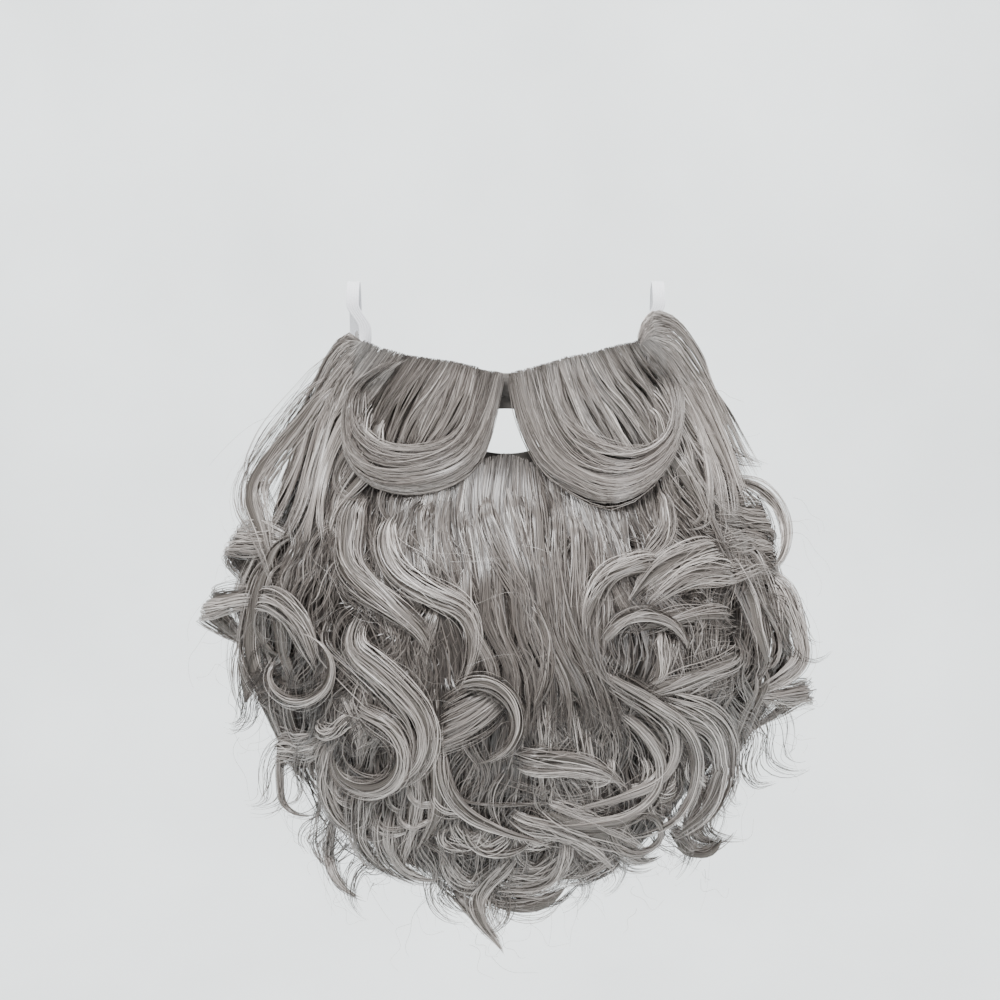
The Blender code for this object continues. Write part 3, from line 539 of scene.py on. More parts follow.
def sample(values, shares):
    """The rows of values at shares of their length, by straight lines between them."""
    place = shares * (len(values) - 1)
    low = np.clip(place.astype(int), 0, len(values) - 2)
    part = (place - low)[..., None]
    return values[low] * (1 - part) + values[low + 1] * part


class Hair:
    """Collects strands, each a flat ribbon, and makes one mesh of them."""

    def __init__(self, name):
        self.name = name
        self.points = []
        self.quads = []
        self.marks = []
        self.total = 0

    def keep(self, points, quads, marks):
        self.points.append(points.reshape(-1, 3))
        self.quads.append(quads.reshape(-1, 4))
        self.marks.append(marks.reshape(-1, 2))
        self.total += points.size // 3

    def add(self, paths, outwards, widths, tones):
        """Strands that would reach outside the part's box are left out."""
        kept = np.all((paths > LOW_LIMIT) & (paths < HIGH_LIMIT), axis=(1, 2))
        if not kept.any():
            return
        paths, outwards, widths, tones = paths[kept], outwards[kept], widths[kept], tones[kept]
        count, steps = paths.shape[:2]
        tangents = unit(np.gradient(paths, axis=1))
        across = unit(np.cross(tangents, outwards))
        outwards = np.cross(across, tangents)
        roll = RNG.normal(0, STRAND_ROLL, (count, 1, 1))
        across = across * np.cos(roll) + outwards * np.sin(roll)
        half = across * (widths / 2)[..., None]
        index = self.total + np.arange(count * steps * 2).reshape(count, steps, 2)
        quads = np.stack([index[:, :-1, 0], index[:, :-1, 1], index[:, 1:, 1], index[:, 1:, 0]], axis=-1)
        marks = np.zeros((count, steps, 2, 2))
        marks[..., 0] = tones[:, None, None] + np.array([-MARK_HALF, MARK_HALF])
        marks[..., 1] = np.linspace(0.01, 0.99, steps)[None, :, None]
        self.keep(np.stack([paths - half, paths + half], axis=2), quads, marks)

    def add_core(self, centres, outwards, widths, thicknesses, tone):
        """A tube that fills a lock and closes to a point at its ends, with its own stretch of the streaks' map."""
        steps = steps_for(centres) - 2
        first, last = CORE_SPAN
        shares = np.linspace(first, last, steps)
        centres, outwards = sample(centres, shares), unit(sample(outwards, shares))
        closing = np.sqrt(np.clip(np.minimum(shares - first, last - shares) / CORE_TAPER, 0, 1))
        widths, thicknesses = (sample(values[:, None], shares)[:, 0] * closing for values in (widths, thicknesses))
        tangents = unit(np.gradient(centres, axis=0))
        across = unit(np.cross(tangents, outwards))
        outwards = np.cross(across, tangents)
        wide = CORE_SIDES + 1
        angles = np.linspace(0, 2 * math.pi, wide)
        ring = across[:, None] * (widths[:, None] / 2 * np.cos(angles))[..., None]
        ring = ring + outwards[:, None] * (thicknesses[:, None] / 2 * np.sin(angles))[..., None]
        index = self.total + np.arange(steps * wide).reshape(steps, wide)
        quads = np.stack([index[:-1, :-1], index[1:, :-1], index[1:, 1:], index[:-1, 1:]], axis=-1)
        marks = np.zeros((steps, wide, 2))
        marks[..., 0] = RNG.integers(0, 400) + angles / (2 * math.pi)
        marks[..., 1] = shares[:, None] + math.floor(tone * 10)
        self.keep(np.clip(centres[:, None] + ring, LOW_LIMIT, HIGH_LIMIT), quads, marks)

    def build(self, finish, node):
        points, quads, marks = (np.concatenate(parts) for parts in (self.points, self.quads, self.marks))
        mesh = bpy.data.meshes.new(self.name)
        mesh.vertices.add(len(points))
        mesh.vertices.foreach_set("co", points.astype(np.float32).ravel())
        mesh.loops.add(len(quads) * 4)
        mesh.loops.foreach_set("vertex_index", quads.astype(np.int32).ravel())
        mesh.polygons.add(len(quads))
        mesh.polygons.foreach_set("loop_start", np.arange(0, len(quads) * 4, 4, dtype=np.int32))
        mesh.update()
        for name in ("strand", "OFBake"):
            layer = mesh.uv_layers.new(name=name)
            layer.data.foreach_set("uv", marks[quads.ravel()].astype(np.float32).ravel())
        mesh.uv_layers["OFBake"].active_render = False
        mesh.uv_layers["strand"].active_render = True
        mesh.shade_smooth()
        mesh.materials.append(finish)
        made = bpy.data.objects.new(self.name, mesh)
        bpy.context.scene.collection.objects.link(made)
        return place_piece(made, node)


def place_piece(made, node):
    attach(made, "root")
    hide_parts(node)
    return made


def wave(shares, count, size, turns):
    """A slow sideways wander for each strand."""
    phase = RNG.uniform(0, 2 * math.pi, (count, 1))
    rate = RNG.uniform(0.6, 1.4, (count, 1)) * turns
    return size * np.sin(phase + 2 * math.pi * rate * shares)


def steps_for(centres):
    """Enough steps for the length and the turns of a path."""
    tangents = unit(np.diff(centres, axis=0))
    turns = np.degrees(np.arccos(np.clip((tangents[1:] * tangents[:-1]).sum(axis=1), -1, 1))).sum()
    length = np.linalg.norm(np.diff(centres, axis=0), axis=1).sum()
    return int(np.clip(4 + length / 0.0075 + turns / 28, 8, 28))


def bundle(hair, centres, outwards, widths, thicknesses, count, tone, loose=0.06, core=None, even=False):
    """Fills an oval bundle along a path with strands that gather in clumps, as shares across it and out of it."""
    if core:
        core.add_core(centres, outwards, widths * CORE_SHARE, thicknesses * CORE_SHARE, tone)
    steps = steps_for(centres)
    tangents = unit(np.gradient(centres, axis=0))
    sideways = unit(np.cross(tangents, outwards))
    outwards = np.cross(sideways, tangents)
    clumps = max(4, int(widths.max() / CLUMP_WIDTH) + 3)
    clump_angle = RNG.uniform(-0.6, math.pi + 0.6, clumps)
    clump_reach = RNG.uniform(0.45, 0.95, clumps)
    clump_tone = RNG.normal(0, 0.09, clumps)
    clump_end = RNG.uniform(0.93 if even else 0.80, 1.0, clumps)
    clump_tight = RNG.uniform(0.26, 0.52, clumps)
    clump_phase = RNG.uniform(0, 2 * math.pi, (clumps, 2))
    member = RNG.integers(0, clumps, count)
    angle = RNG.uniform(0, 2 * math.pi, count)[:, None]
    reach = np.sqrt(RNG.uniform(0.05, 1.0, count))[:, None]
    start = RNG.uniform(0.0, 0.08, count)
    end = clump_end[member] * RNG.uniform(0.88, 1.0, count)
    shares = start[:, None] + (end - start)[:, None] * np.linspace(0, 1, steps)
    gather = clump_tight[member][:, None] * (1.25 - 0.75 * ramp(shares, 0.25, 1.0))
    spread = 1 + TIP_SPREAD * ramp(shares, 0.6, 1.0)
    centre_angle = clump_angle[member][:, None] + RNG.uniform(-0.8, 0.8) * shares
    drift = [CLUMP_DRIFT * np.sin(clump_phase[member, axis][:, None] + DRIFT_TURN * shares) for axis in range(2)]
    across = clump_reach[member][:, None] * np.cos(centre_angle) * spread + drift[0]
    out = clump_reach[member][:, None] * np.sin(centre_angle) * spread + drift[1] * 0.6
    across = across + reach * np.cos(angle) * gather
    out = out + reach * np.sin(angle) * gather
    flying = RNG.uniform(0, 1, count) < loose
    away = 1 + (np.where(flying, 1.8, 1.0)[:, None] - 1) * shares
    sway = np.where(flying, 0.55, 0.10)[:, None]
    across = across * away + wave(shares, count, sway, 1.5)
    out = out * away + wave(shares, count, sway, 1.5)
    half_width, half_thick = (sample(values[:, None], shares)[..., 0] / 2 for values in (widths, thicknesses))
    side_way, out_way = sample(sideways, shares), sample(outwards, shares)
    paths = sample(centres, shares) + side_way * (across * half_width)[..., None]
    paths = paths + out_way * (out * half_thick)[..., None]
    leaning = (across / np.maximum(half_width, THINNEST))[..., None]
    rising = (out / np.maximum(half_thick, THINNEST))[..., None]
    thin = np.where(flying, 0.5, 1.0) * RNG.uniform(0.6, 1.25, count)
    shape = (0.55 + 0.45 * ramp(shares, 0, 0.1)) * (1 - 0.75 * ramp(np.linspace(0, 1, steps), 0.7, 1.0))
    # Strands on the outer side of the lock get a lighter tone and those inside a darker one: painted shade
    depth = np.clip(out[:, : steps // 2].mean(axis=1), -1, 1)
    tones = tone + clump_tone[member] + RNG.normal(0, 0.12, count) + 0.12 * depth
    normals = unit(side_way * leaning + out_way * rising)
    hair.add(paths, normals, STRAND_WIDTH * thin[:, None] * shape, np.clip(tones, *TONES))


def smooth(values):
    """Rounds off the corners of a line, with its ends kept."""
    for _ in range(3):
        values = np.concatenate([values[:1], (values[:-2] + 2 * values[1:-1] + values[2:]) / 4, values[-1:]])
    return values


def lock_path(row, place, sink=0.0):
    """The centre line of a lock with its ways out, widths and thicknesses."""
    across, down, heading, wide, lift, bends = row
    flat = curl_path((across, -down * HAIR_DROP), heading, bends)
    shares = np.linspace(0, 1, len(flat))
    turned, depth = flat[:, 2], flat[:, 3]
    surface, outward = place(flat[:, 0], flat[:, 1])
    rise = (LOCK_LIFT * lift + ROOT_SINK) * ramp(shares, 0.0, 0.2) - ROOT_SINK - sink - depth
    rise = rise + CURL_RISE * np.maximum(0.0, np.abs(turned) - 150) / 360 * (depth <= 0)
    full = (0.5 + 0.5 * ramp(shares, 0.0, 0.25)) * (1 - 0.7 * ramp(shares, 0.55, 1.0))
    thicknesses = LOCK_THICKNESS * full**0.7 * min(1.0, 0.5 + wide / 2)
    ahead = unit(np.cross(outward, np.cross(place(flat[:, 0] + NEAR, flat[:, 1])[0] - surface, outward)))
    above = unit(np.cross(outward, np.cross(place(flat[:, 0], flat[:, 1] + NEAR)[0] - surface, outward)))
    facing = outward * flat[:, 4:5] + ahead * flat[:, 5:6] + above * flat[:, 6:7]
    return smooth(surface + outward * rise[:, None]), smooth(unit(facing)), wide * LOCK_WIDTH * full, thicknesses


def varied(row, size):
    """A lock like this one, a little to one side of it."""
    across, down, heading, wide, lift, bends = row
    runs = RNG.uniform(0.8, 1.15, len(bends))
    turns = RNG.uniform(0.7, 1.25, len(bends))
    turns = np.where([abs(turn) >= WIND_TURN for _, turn in bends], 1.0, turns)
    runs = np.where(turns == 1.0, 1.0, runs)
    made = tuple((run * more, turn * other) for (run, turn), more, other in zip(bends, runs, turns))
    return (
        across + RNG.normal(0, size) * HAIR_HALF_WIDTH,
        down + RNG.normal(0, size * 0.7),
        heading + RNG.normal(0, size * 200),
        wide * RNG.uniform(0.6, 1.0),
        lift * RNG.uniform(0.0, 0.7),
        made,
    )


def scaled(row):
    return (row[0] * HAIR_HALF_WIDTH, *row[1:])


def front_locks(left, right, core):
    for row in FRONT_LOCKS:
        across, down, _, wide, _, bends = row
        winds = any(winds_behind(run, turn) for run, turn in bends)
        shaded = THROAT_SHADE if abs(across) < 0.3 and down < 0.3 else 0.0
        count = int((22 + 40 * wide) * (1.5 if winds else 1.0))
        hair, tone = left if across < 0.02 else right, RNG.uniform(0.43, 0.60) - shaded
        bundle(hair, *lock_path(scaled(row), front_place), count, tone, core=core, even=winds)


def under_locks(hair):
    """Darker locks like those of the front, below them and between them; the darker tone is painted shade."""
    for row in FRONT_LOCKS:
        path = lock_path(varied(scaled(row), 0.045), front_place, 0.0015)
        bundle(hair, *path, 22, RNG.uniform(0.24, 0.42), 0.05)


def deep_locks(hair):
    """Short, dark, wavy locks all over the front, which show in the gaps between the others; their dark tone is
    painted shade.
    """
    for down in np.arange(-0.10, 0.86, 0.11):
        level = hair_columns(np.array(-down * HAIR_DROP))
        shift, half_width = float(level.shift), float(level.half_width)
        for across in np.arange(-0.84, 0.88, 0.125 / half_width):
            if down < 0.02 and abs(across) < 0.55:
                continue
            way = RNG.choice((-1, 1))
            bends = ((0.07, 34 * way), (0.09, -64 * way), (0.09, 80 * way), (0.06, 60 * way))
            heading = 22 * across + RNG.normal(0, 14)
            spot = (shift + (across + RNG.normal(0, 0.03)) * half_width) * HAIR_HALF_WIDTH
            row = (spot, down + RNG.uniform(-0.05, 0.05), heading, RNG.uniform(1.6, 2.2), 0.0, bends)
            path, outward, widths, thick = lock_path(row, front_place, -0.0035)
            bundle(hair, path, outward, widths, thick * 0.4, 22, RNG.uniform(0.08, 0.24), 0.03)


def fringe(hair):
    """Small curls along the lower edge."""
    for across in np.linspace(-0.62, 0.66, 34):
        down = 0.92 - 0.36 * across * across + RNG.uniform(-0.14, 0.0) - 0.08
        way = RNG.choice((-1, 1))
        bends = ((0.05, 40 * way), (0.06, 90 * way), (0.06, 120 * way), (0.04, RNG.uniform(60, 110) * way))
        heading, wide, lift = RNG.normal(0, 34), RNG.uniform(0.6, 1.1), RNG.uniform(0.1, 0.7)
        row = (across * HAIR_HALF_WIDTH, down, heading, wide, lift, bends)
        bundle(hair, *lock_path(row, front_place), 30, RNG.uniform(0.52, 0.70), 0.04)


def side_locks(hair, core):
    for side in (-1, 1):
        place = side_place(side)
        for down, run, curl in ((-0.36, 0.34, 60), (0.02, 0.32, 150), (0.34, 0.26, 220)):
            for column in range(8):
                along = (0.10 + 0.100 * column + RNG.uniform(-0.03, 0.03)) * EAR_DEPTH
                top = down + 0.12 * (1 - column / 7) + RNG.uniform(-0.03, 0.03)
                way = RNG.choice((-1, 1))
                bends = ((0.35, 16), (0.35, -34), (0.3, 60), (0.3, curl))
                bends = tuple((run * part, turn * way) for part, turn in bends)
                row = (along, top, RNG.normal(0, 7), RNG.uniform(1.1, 1.7), RNG.uniform(0.2, 0.7), bends)
                bundle(hair, *lock_path(row, place), 28, RNG.uniform(0.42, 0.64), 0.05, core)


def mirrored(guides, side):
    return tuple(tuple((side * across, height) for across, height in guide) for guide in guides)


def back_sheets(hair):
    """Hair that covers the sides, the rim and the inside of the back, below the locks there."""
    lifts = (0.0004, 0.0010, 0.0010)
    for side in (-1, 1):
        lay(hair, SIDE_SHEET, 480, lifts, 0.0020, 0.32, 14, (0.5, 0.9), 0.10, 1.6, 6, place=side_place(side))
        lay(hair, mirrored(RIM_SHEET, side), 400, lifts, 0.0016, 0.28, 14, (0.5, 1.0), 0.12, 1.7, 7, place=rim_place)
        inner_side = side_place(side, True)
        lay(hair, INNER_SIDE_SHEET, 280, lifts, 0.0016, 0.28, 11, (0.55, 1.0), 0.10, 2.0, 10, place=inner_side)
    lay(hair, INNER_SHEET, 620, lifts, 0.0016, 0.30, 11, (0.6, 1.0), 0.12, 2.0, 11, place=inner_place)


def front_sheet(hair):
    """Hair that covers the front from edge to edge, below all the locks, in a dark tone that is painted shade."""
    guides = [
        [
            (1000 * HAIR_HALF_WIDTH * (shift + share * half_width), -1000 * HAIR_DROP * down)
            for down, shift, half_width, *_ in HAIR_ROWS[2:]
        ]
        for share in (-0.97, -0.62, -0.3, 0.0, 0.3, 0.62, 0.97)
    ]
    lay(hair, guides, 840, (0.0004, 0.0012, 0.0010), 0.0020, 0.20, 13, (0.55, 1.0), 0.14, 2.0, 9)


def back_lock(hair, core, place, across, down, run, bends, widths, tones):
    way = RNG.choice((-1, 1))
    bends = tuple((run * part, turn * way) for part, turn in bends)
    row = (across, down + RNG.uniform(-0.09, 0.09), RNG.normal(0, 12), RNG.uniform(*widths), 0.1, bends)
    bundle(hair, *lock_path(row, place), 22, RNG.uniform(*tones), 0.08, core)


def back_locks(hair, core):
    rim_bends, inner_bends = ((0.4, 14), (0.4, -40), (0.35, 150)), ((0.4, 12), (0.4, -36), (0.3, 130))
    for side in (-1, 1):
        for down, run, low, high in ((-0.10, 0.30, 0.50, 0.62), (0.12, 0.30, 0.56, 0.80), (0.36, 0.26, 0.55, 0.78)):
            for column in range(4):
                across = side * (low + (high - low) * column / 3) * HAIR_HALF_WIDTH
                back_lock(hair, core, rim_place, across, down, run, rim_bends, (1.1, 1.8), (0.36, 0.58))
    for down, run, reach, count in ((0.22, 0.34, 0.36, 8), (0.46, 0.30, 0.42, 9), (0.66, 0.24, 0.34, 7)):
        for column in range(count):
            across = (2 * column / (count - 1) - 1) * reach * HAIR_HALF_WIDTH
            back_lock(hair, core, inner_place, across, down, run, inner_bends, (1.2, 1.9), (0.34, 0.52))


def smooth_line(points):
    """A line of points through the guide's, in metres, evenly spread."""
    points = [tuple(value / 1000 for value in point) for point in points]
    fine = np.array([row_at(points, place) for place in np.linspace(0, len(points) - 1, GUIDE_POINTS * 2)])
    reach = np.concatenate([[0], np.cumsum(np.linalg.norm(np.diff(fine, axis=0), axis=1))])
    even = np.linspace(0, reach[-1], GUIDE_POINTS)
    return np.stack([np.interp(even, reach, fine[:, axis]) for axis in range(2)], axis=-1)


def lay(
    hair, guides, count, lifts, thick, tone, steps, ends, wander, wide=1.0, clumps=8, ridge=0.0006, place=front_place
):
    """Strands between guides. The lifts are those at the root, in the middle and at the end."""
    lines = np.array([smooth_line(guide) for guide in guides])
    last = len(guides) - 1
    between = RNG.uniform(0, last, count)
    start = RNG.uniform(0.0, 0.03, count)
    end = RNG.uniform(*ends, count)
    shares = start[:, None] + (end - start)[:, None] * np.linspace(0, 1, steps)
    middles = np.sort(RNG.uniform(0, last, int(last * clumps)))
    phases = RNG.uniform(0, 2 * math.pi, (len(middles), 2))
    member = np.abs(between[:, None] - middles).argmin(axis=1)
    pull = RNG.uniform(0.3, 0.8, len(middles))[member][:, None]
    gathered = between[:, None] + (middles[member] - between)[:, None] * pull * ramp(shares, 0.1, 0.6)
    gathered = gathered + wander * 1.5 * np.sin(phases[member, :1] + SHEET_TURN * shares) * ramp(shares, 0.0, 0.3)
    gathered = np.clip(gathered + wave(shares, count, wander, 0.8), -0.14, last + 0.10)
    low = np.minimum(gathered.astype(int), last - 1)
    part = (gathered - low)[..., None]
    spot = shares * (lines.shape[1] - 1)
    near = np.minimum(spot.astype(int), lines.shape[1] - 2)
    rest = (spot - near)[..., None]
    flat = (lines[low, near] * (1 - rest) + lines[low, near + 1] * rest) * (1 - part)
    flat = flat + (lines[low + 1, near] * (1 - rest) + lines[low + 1, near + 1] * rest) * part
    surface, outward = place(flat[..., 0], flat[..., 1])
    crown = np.sqrt(np.clip(1 - (2 * gathered / last - 1) ** 2 * 0.9, 0, 1))
    crown = crown - RNG.uniform(0, 0.5, (count, 1)) ** 2
    lift = np.interp(shares, (0, 0.45, 1), lifts)
    deep = RNG.uniform(0, 1, count)
    rise = lift + thick * (crown - 0.5) - 0.35 * thick * (deep[:, None] ** 2) * ramp(shares, 0, 0.2)
    rise = rise + ridge * np.sin(phases[member, 1:] + SHEET_TURN * shares) * ramp(shares, 0.1, 0.3)
    across = unit(np.cross(unit(np.gradient(surface, axis=1)), outward))
    ends_apart = place(*lines[[0, -1], GUIDE_POINTS // 3].T)[0]
    way = np.sign(np.sum((ends_apart[1] - ends_apart[0]) * across[0, len(shares[0]) // 3])) or 1.0
    tilt = (2 * gathered / last - 1) * 0.5
    normals = unit(outward + across * (tilt * way)[..., None])
    thin = RNG.uniform(0.6, 1.25, count)
    shape = (0.6 + 0.4 * ramp(shares, 0, 0.1)) * (1 - 0.7 * ramp(np.linspace(0, 1, steps), 0.75, 1.0))
    clump_tone = RNG.normal(0, 0.08, len(middles))[member]
    # Deeper strands, which also lie lower, get a darker tone: painted shade
    tones = tone + clump_tone + RNG.normal(0, 0.16, count) - 0.16 * deep
    widths = STRAND_WIDTH * wide * thin[:, None] * shape
    hair.add(surface + outward * rise[..., None], normals, widths, np.clip(tones, *TONES))


def raised(guides, height):
    """The same guides with their roots a little higher."""
    return tuple(((guide[0][0], guide[0][1] + height), *guide[1:]) for guide in guides)


def moustache(name, ring, fill, fall, node):
    hair = Hair(name)
    ring, fill, fall = (raised(guides, 1.4) for guides in (ring, fill, fall))
    whole = (fill[0], fill[1], *fall[1:])
    lay(hair, whole, 440, (0.0004, 0.0012, 0.0010), 0.0010, 0.28, 9, (0.8, 1.0), 0.04, 1.3, ridge=0.0)
    lay(hair, fall, 520, (0.0010, 0.0030, 0.0020), 0.0020, 0.46, 10, (0.7, 1.0), 0.05)
    lay(hair, fill, 350, (0.0012, 0.0040, 0.0030), 0.0025, 0.47, 10, (0.8, 1.0), 0.05)
    lay(hair, ring[1:], 520, (0.0015, 0.0055, 0.0040), 0.0050, 0.46, 19, (0.72, 1.0), 0.035, clumps=5)
    lay(hair, ring[:2], 740, (0.0015, 0.0075, 0.0050), 0.0060, 0.48, 20, (0.76, 1.0), 0.045, clumps=6)
    lay(hair, ring, 110, (0.0020, 0.0090, 0.0070), 0.0060, 0.58, 18, (0.5, 1.0), 0.16, 0.7)
    hair.build(HAIR_FINISH, node)


def upper_hair(hair):
    """The cheeks, the throat and what lies below the ends of the moustache."""
    cheek_lifts, under_lifts = (0.0006, 0.0050, 0.0060), (0.0006, 0.0040, 0.0040)
    lay(hair, raised(CHEEK_LEFT, 1.8), 860, cheek_lifts, 0.0030, 0.59, 14, (0.6, 1.0), 0.06)
    lay(hair, raised(CHEEK_RIGHT, 1.4), 860, cheek_lifts, 0.0030, 0.60, 14, (0.6, 1.0), 0.06)
    lay(hair, THROAT, 1150, (0.0006, 0.0060, 0.0060), 0.0050, 0.27, 17, (0.6, 1.0), 0.10, clumps=5, ridge=0.0012)
    lay(hair, UNDER_LEFT, 600, under_lifts, 0.0030, 0.32, 10, (0.6, 1.0), 0.1)
    lay(hair, UNDER_RIGHT, 700, under_lifts, 0.0030, 0.32, 10, (0.6, 1.0), 0.1)


def flyaways(hair):
    """Fine single hairs that cross the gaps and stand off the curls."""
    along = np.linspace(0, 1, FLYAWAY_STEPS)
    for _ in range(FLYAWAYS):
        row = scaled(FRONT_LOCKS[RNG.integers(len(FRONT_LOCKS))])
        across, down, heading, _, _, bends = varied(row, 0.06)
        bends = tuple((run * RNG.uniform(0.6, 1.3), turn * RNG.uniform(0.3, 1.8)) for run, turn in bends)
        down, heading, lift = down + RNG.uniform(0, 0.12), heading + RNG.normal(0, 22), RNG.uniform(0.2, 2.4)
        path, outward = lock_path((across, down, heading, 0.3, lift, bends), front_place)[:2]
        begin = RNG.uniform(0.0, 0.4)
        shares = np.linspace(begin, begin + RNG.uniform(0.3, 0.6), FLYAWAY_STEPS)
        line, outward = sample(path, shares), unit(sample(outward, shares))
        sideways = np.cross(unit(np.gradient(line, axis=0)), outward)
        swing = along[:, None] * RNG.uniform(0.8, 2.2) * 2 * math.pi + RNG.uniform(0, 6)
        size = RNG.uniform(0.001, 0.004)
        line = smooth(line + sideways * np.sin(swing) * size + outward * np.cos(swing) * size * 0.6)
        widths = STRAND_WIDTH * RNG.uniform(0.25, 0.45) * (1 - 0.5 * along)
        hair.add(line[None], outward[None], widths[None], np.array([RNG.uniform(0.2, 0.6)]))


# Materials
def shader_of(name, roughness, **inputs):
    """A new material's node tree, and its shader with these inputs."""
    made = bpy.data.materials.new(name)
    made.use_nodes = True
    shader = made.node_tree.nodes["Principled BSDF"]
    shader.inputs["Roughness"].default_value = roughness
    for label, value in inputs.items():
        shader.inputs[label.replace("_", " ")].default_value = value
    return made, made.node_tree, shader


def strand_map(tree):
    mark = tree.nodes.new("ShaderNodeUVMap")
    mark.uv_map = "strand"
    return mark.outputs["UV"]


def colour_ramp(tree, source, stops):
    made = tree.nodes.new("ShaderNodeValToRGB")
    for number, (place, colour) in enumerate(stops):
        stop = made.color_ramp.elements[number] if number < 2 else made.color_ramp.elements.new(place)
        stop.position = place
        stop.color = (*colour, 1)
    tree.links.new(source, made.inputs["Fac"])
    return made.outputs["Color"]


def noise(tree, source, scale, detail, roughness=0.5):
    made = tree.nodes.new("ShaderNodeTexNoise")
    made.inputs["Scale"].default_value = scale
    made.inputs["Detail"].default_value = detail
    made.inputs["Roughness"].default_value = roughness
    tree.links.new(source, made.inputs["Vector"])
    return made.outputs["Fac"]


def bumped(tree, shader, height, strength, distance):
    bump = tree.nodes.new("ShaderNodeBump")
    bump.inputs["Strength"].default_value = strength
    bump.inputs["Distance"].default_value = distance
    tree.links.new(height, bump.inputs["Height"])
    tree.links.new(bump.outputs["Normal"], shader.inputs["Normal"])


def hair_finish():
    """Each strand has its own tone across the map, and runs from root to tip along it."""
    made, tree, shader = shader_of("silver_hair_strands", 0.32, Anisotropic=0.8, Specular_IOR_Level=0.6)
    parts = tree.nodes.new("ShaderNodeSeparateXYZ")
    tree.links.new(strand_map(tree), parts.inputs["Vector"])
    shades = [(place, (value, value, value)) for place, value in ROOT_TO_TIP]
    both = tree.nodes.new("ShaderNodeMix")
    both.data_type = "RGBA"
    both.blend_type = "MULTIPLY"
    both.inputs["Factor"].default_value = 1.0
    tree.links.new(colour_ramp(tree, parts.outputs["X"], STRAND_TONES), both.inputs["A"])
    tree.links.new(colour_ramp(tree, parts.outputs["Y"], shades), both.inputs["B"])
    tree.links.new(both.outputs["Result"], shader.inputs["Base Color"])
    tangent = tree.nodes.new("ShaderNodeTangent")
    tangent.direction_type = "UV_MAP"
    tangent.uv_map = "strand"
    tree.links.new(tangent.outputs["Tangent"], shader.inputs["Tangent"])
    return made


def core_finish():
    """Fine streaks along each lock, in dark tones that are painted shade inside the lock."""
    made, tree, shader = shader_of("silver_hair_locks_painted_shade", 0.5, Specular_IOR_Level=0.4)
    stretch = tree.nodes.new("ShaderNodeMapping")
    stretch.inputs["Scale"].default_value = (46, 1.3, 1)
    tree.links.new(strand_map(tree), stretch.inputs["Vector"])
    streaks = noise(tree, stretch.outputs["Vector"], 1.0, 5, 0.7)
    tree.links.new(colour_ramp(tree, streaks, PAINTED_SHADE_STREAK_TONES), shader.inputs["Base Color"])
    bumped(tree, shader, streaks, 0.5, 0.0004)
    return made


def plain_finish(name, colour, roughness, scale, strength, sheen=0.0):
    """A colour that varies a little, with a fine bump."""
    made, tree, shader = shader_of(name, roughness, Sheen_Weight=sheen)
    place = tree.nodes.new("ShaderNodeTexCoord")
    grain = noise(tree, place.outputs["Object"], scale, 6)
    stops = [(end, [channel * part for channel in colour]) for end, part in ((0.0, 0.75), (1.0, 1.15))]
    tree.links.new(colour_ramp(tree, grain, stops), shader.inputs["Base Color"])
    bumped(tree, shader, grain, strength, 0.0003)
    return made


HAIR_FINISH = hair_finish()
CORE_FINISH = core_finish()
MASS_FINISH = plain_finish("silver_hair_shadow", (0.062, 0.056, 0.051), 0.9, 900, 0.6)
NET_FINISH = plain_finish("net_fabric_weave", (0.075, 0.068, 0.062), 0.85, 1400, 0.6, 0.2)
THREAD_FINISH = plain_finish("net_fabric_thread", (0.12, 0.11, 0.10), 0.8, 1200, 0.5, 0.2)
STITCH_FINISH = plain_finish("net_fabric_stitch", (0.30, 0.28, 0.26), 0.7, 1600, 0.4, 0.2)
ELASTIC_FINISH = plain_finish("white_elastic_yarn", (0.70, 0.71, 0.745), 0.6, 1500, 0.5, 0.3)


# Shapes shared with the solids
def mesh_object(name, points, faces, finish=None):
    mesh = bpy.data.meshes.new(name)
    mesh.from_pydata([tuple(point) for point in points], [], faces)
    mesh.shade_smooth()
    if finish:
        mesh.materials.append(finish)
    made = bpy.data.objects.new(name, mesh)
    bpy.context.scene.collection.objects.link(made)
    return made


def bow(half_width, front, back, roundness, turn):
    """A point of a rounded outline seen from above, from one side, -1, to the other, 1."""
    angle = turn * math.pi / 2
    across = abs(math.sin(angle)) ** (2 / roundness) * math.copysign(1, turn)
    forward = abs(math.cos(angle)) ** (2 / roundness)
    return half_width * across, back - (back - front) * forward


def edge_rise(turn):
    return EAR_RISE * abs(turn) ** 1.6


def face_point(turn, place, above=0.0):
    height, half_width, front, back, rise = row_at(FACE_ROWS, place)
    x, y = bow(half_width * FACE_HALF_WIDTH, front * EAR_DEPTH, back * EAR_DEPTH, FACE_ROUNDNESS, turn)
    z = height * (LIP_HEIGHT if height > 0 else JAW_DROP) + rise * edge_rise(turn)
    return Vector((x, y, z + above))


def face_offset(turn, place, distance, above=0.0):
    step = 0.01
    along = face_point(min(1, turn + step), place) - face_point(max(-1, turn - step), place)
    down = face_point(turn, min(FACE_LAST, place + step)) - face_point(turn, max(0, place - step))
    return face_point(turn, place, above) + along.cross(down).normalized() * -distance


def grid(columns, levels, point):
    return [
        point(2 * column / columns - 1, level / levels)
        for level in range(levels + 1)
        for column in range(columns + 1)
    ]


def closed_shell(outer, inner, columns):
    wide = columns + 1
    levels = len(outer) // wide
    points = outer + inner
    faces = []
    for level in range(levels - 1):
        for column in range(columns):
            start = level * wide + column
            quad = (start, start + wide, start + wide + 1, start + 1)
            faces.append(quad)
            faces.append(tuple(corner + len(outer) for corner in reversed(quad)))
    rim = list(range(columns))
    rim += [level * wide + columns for level in range(levels - 1)]
    rim += [(levels - 1) * wide + column for column in range(columns, 0, -1)]
    rim += [level * wide for level in range(levels - 1, 0, -1)]
    for here, there in zip(rim, rim[1:] + rim[:1]):
        faces.append((here, there, there + len(outer), here + len(outer)))
    return points, faces


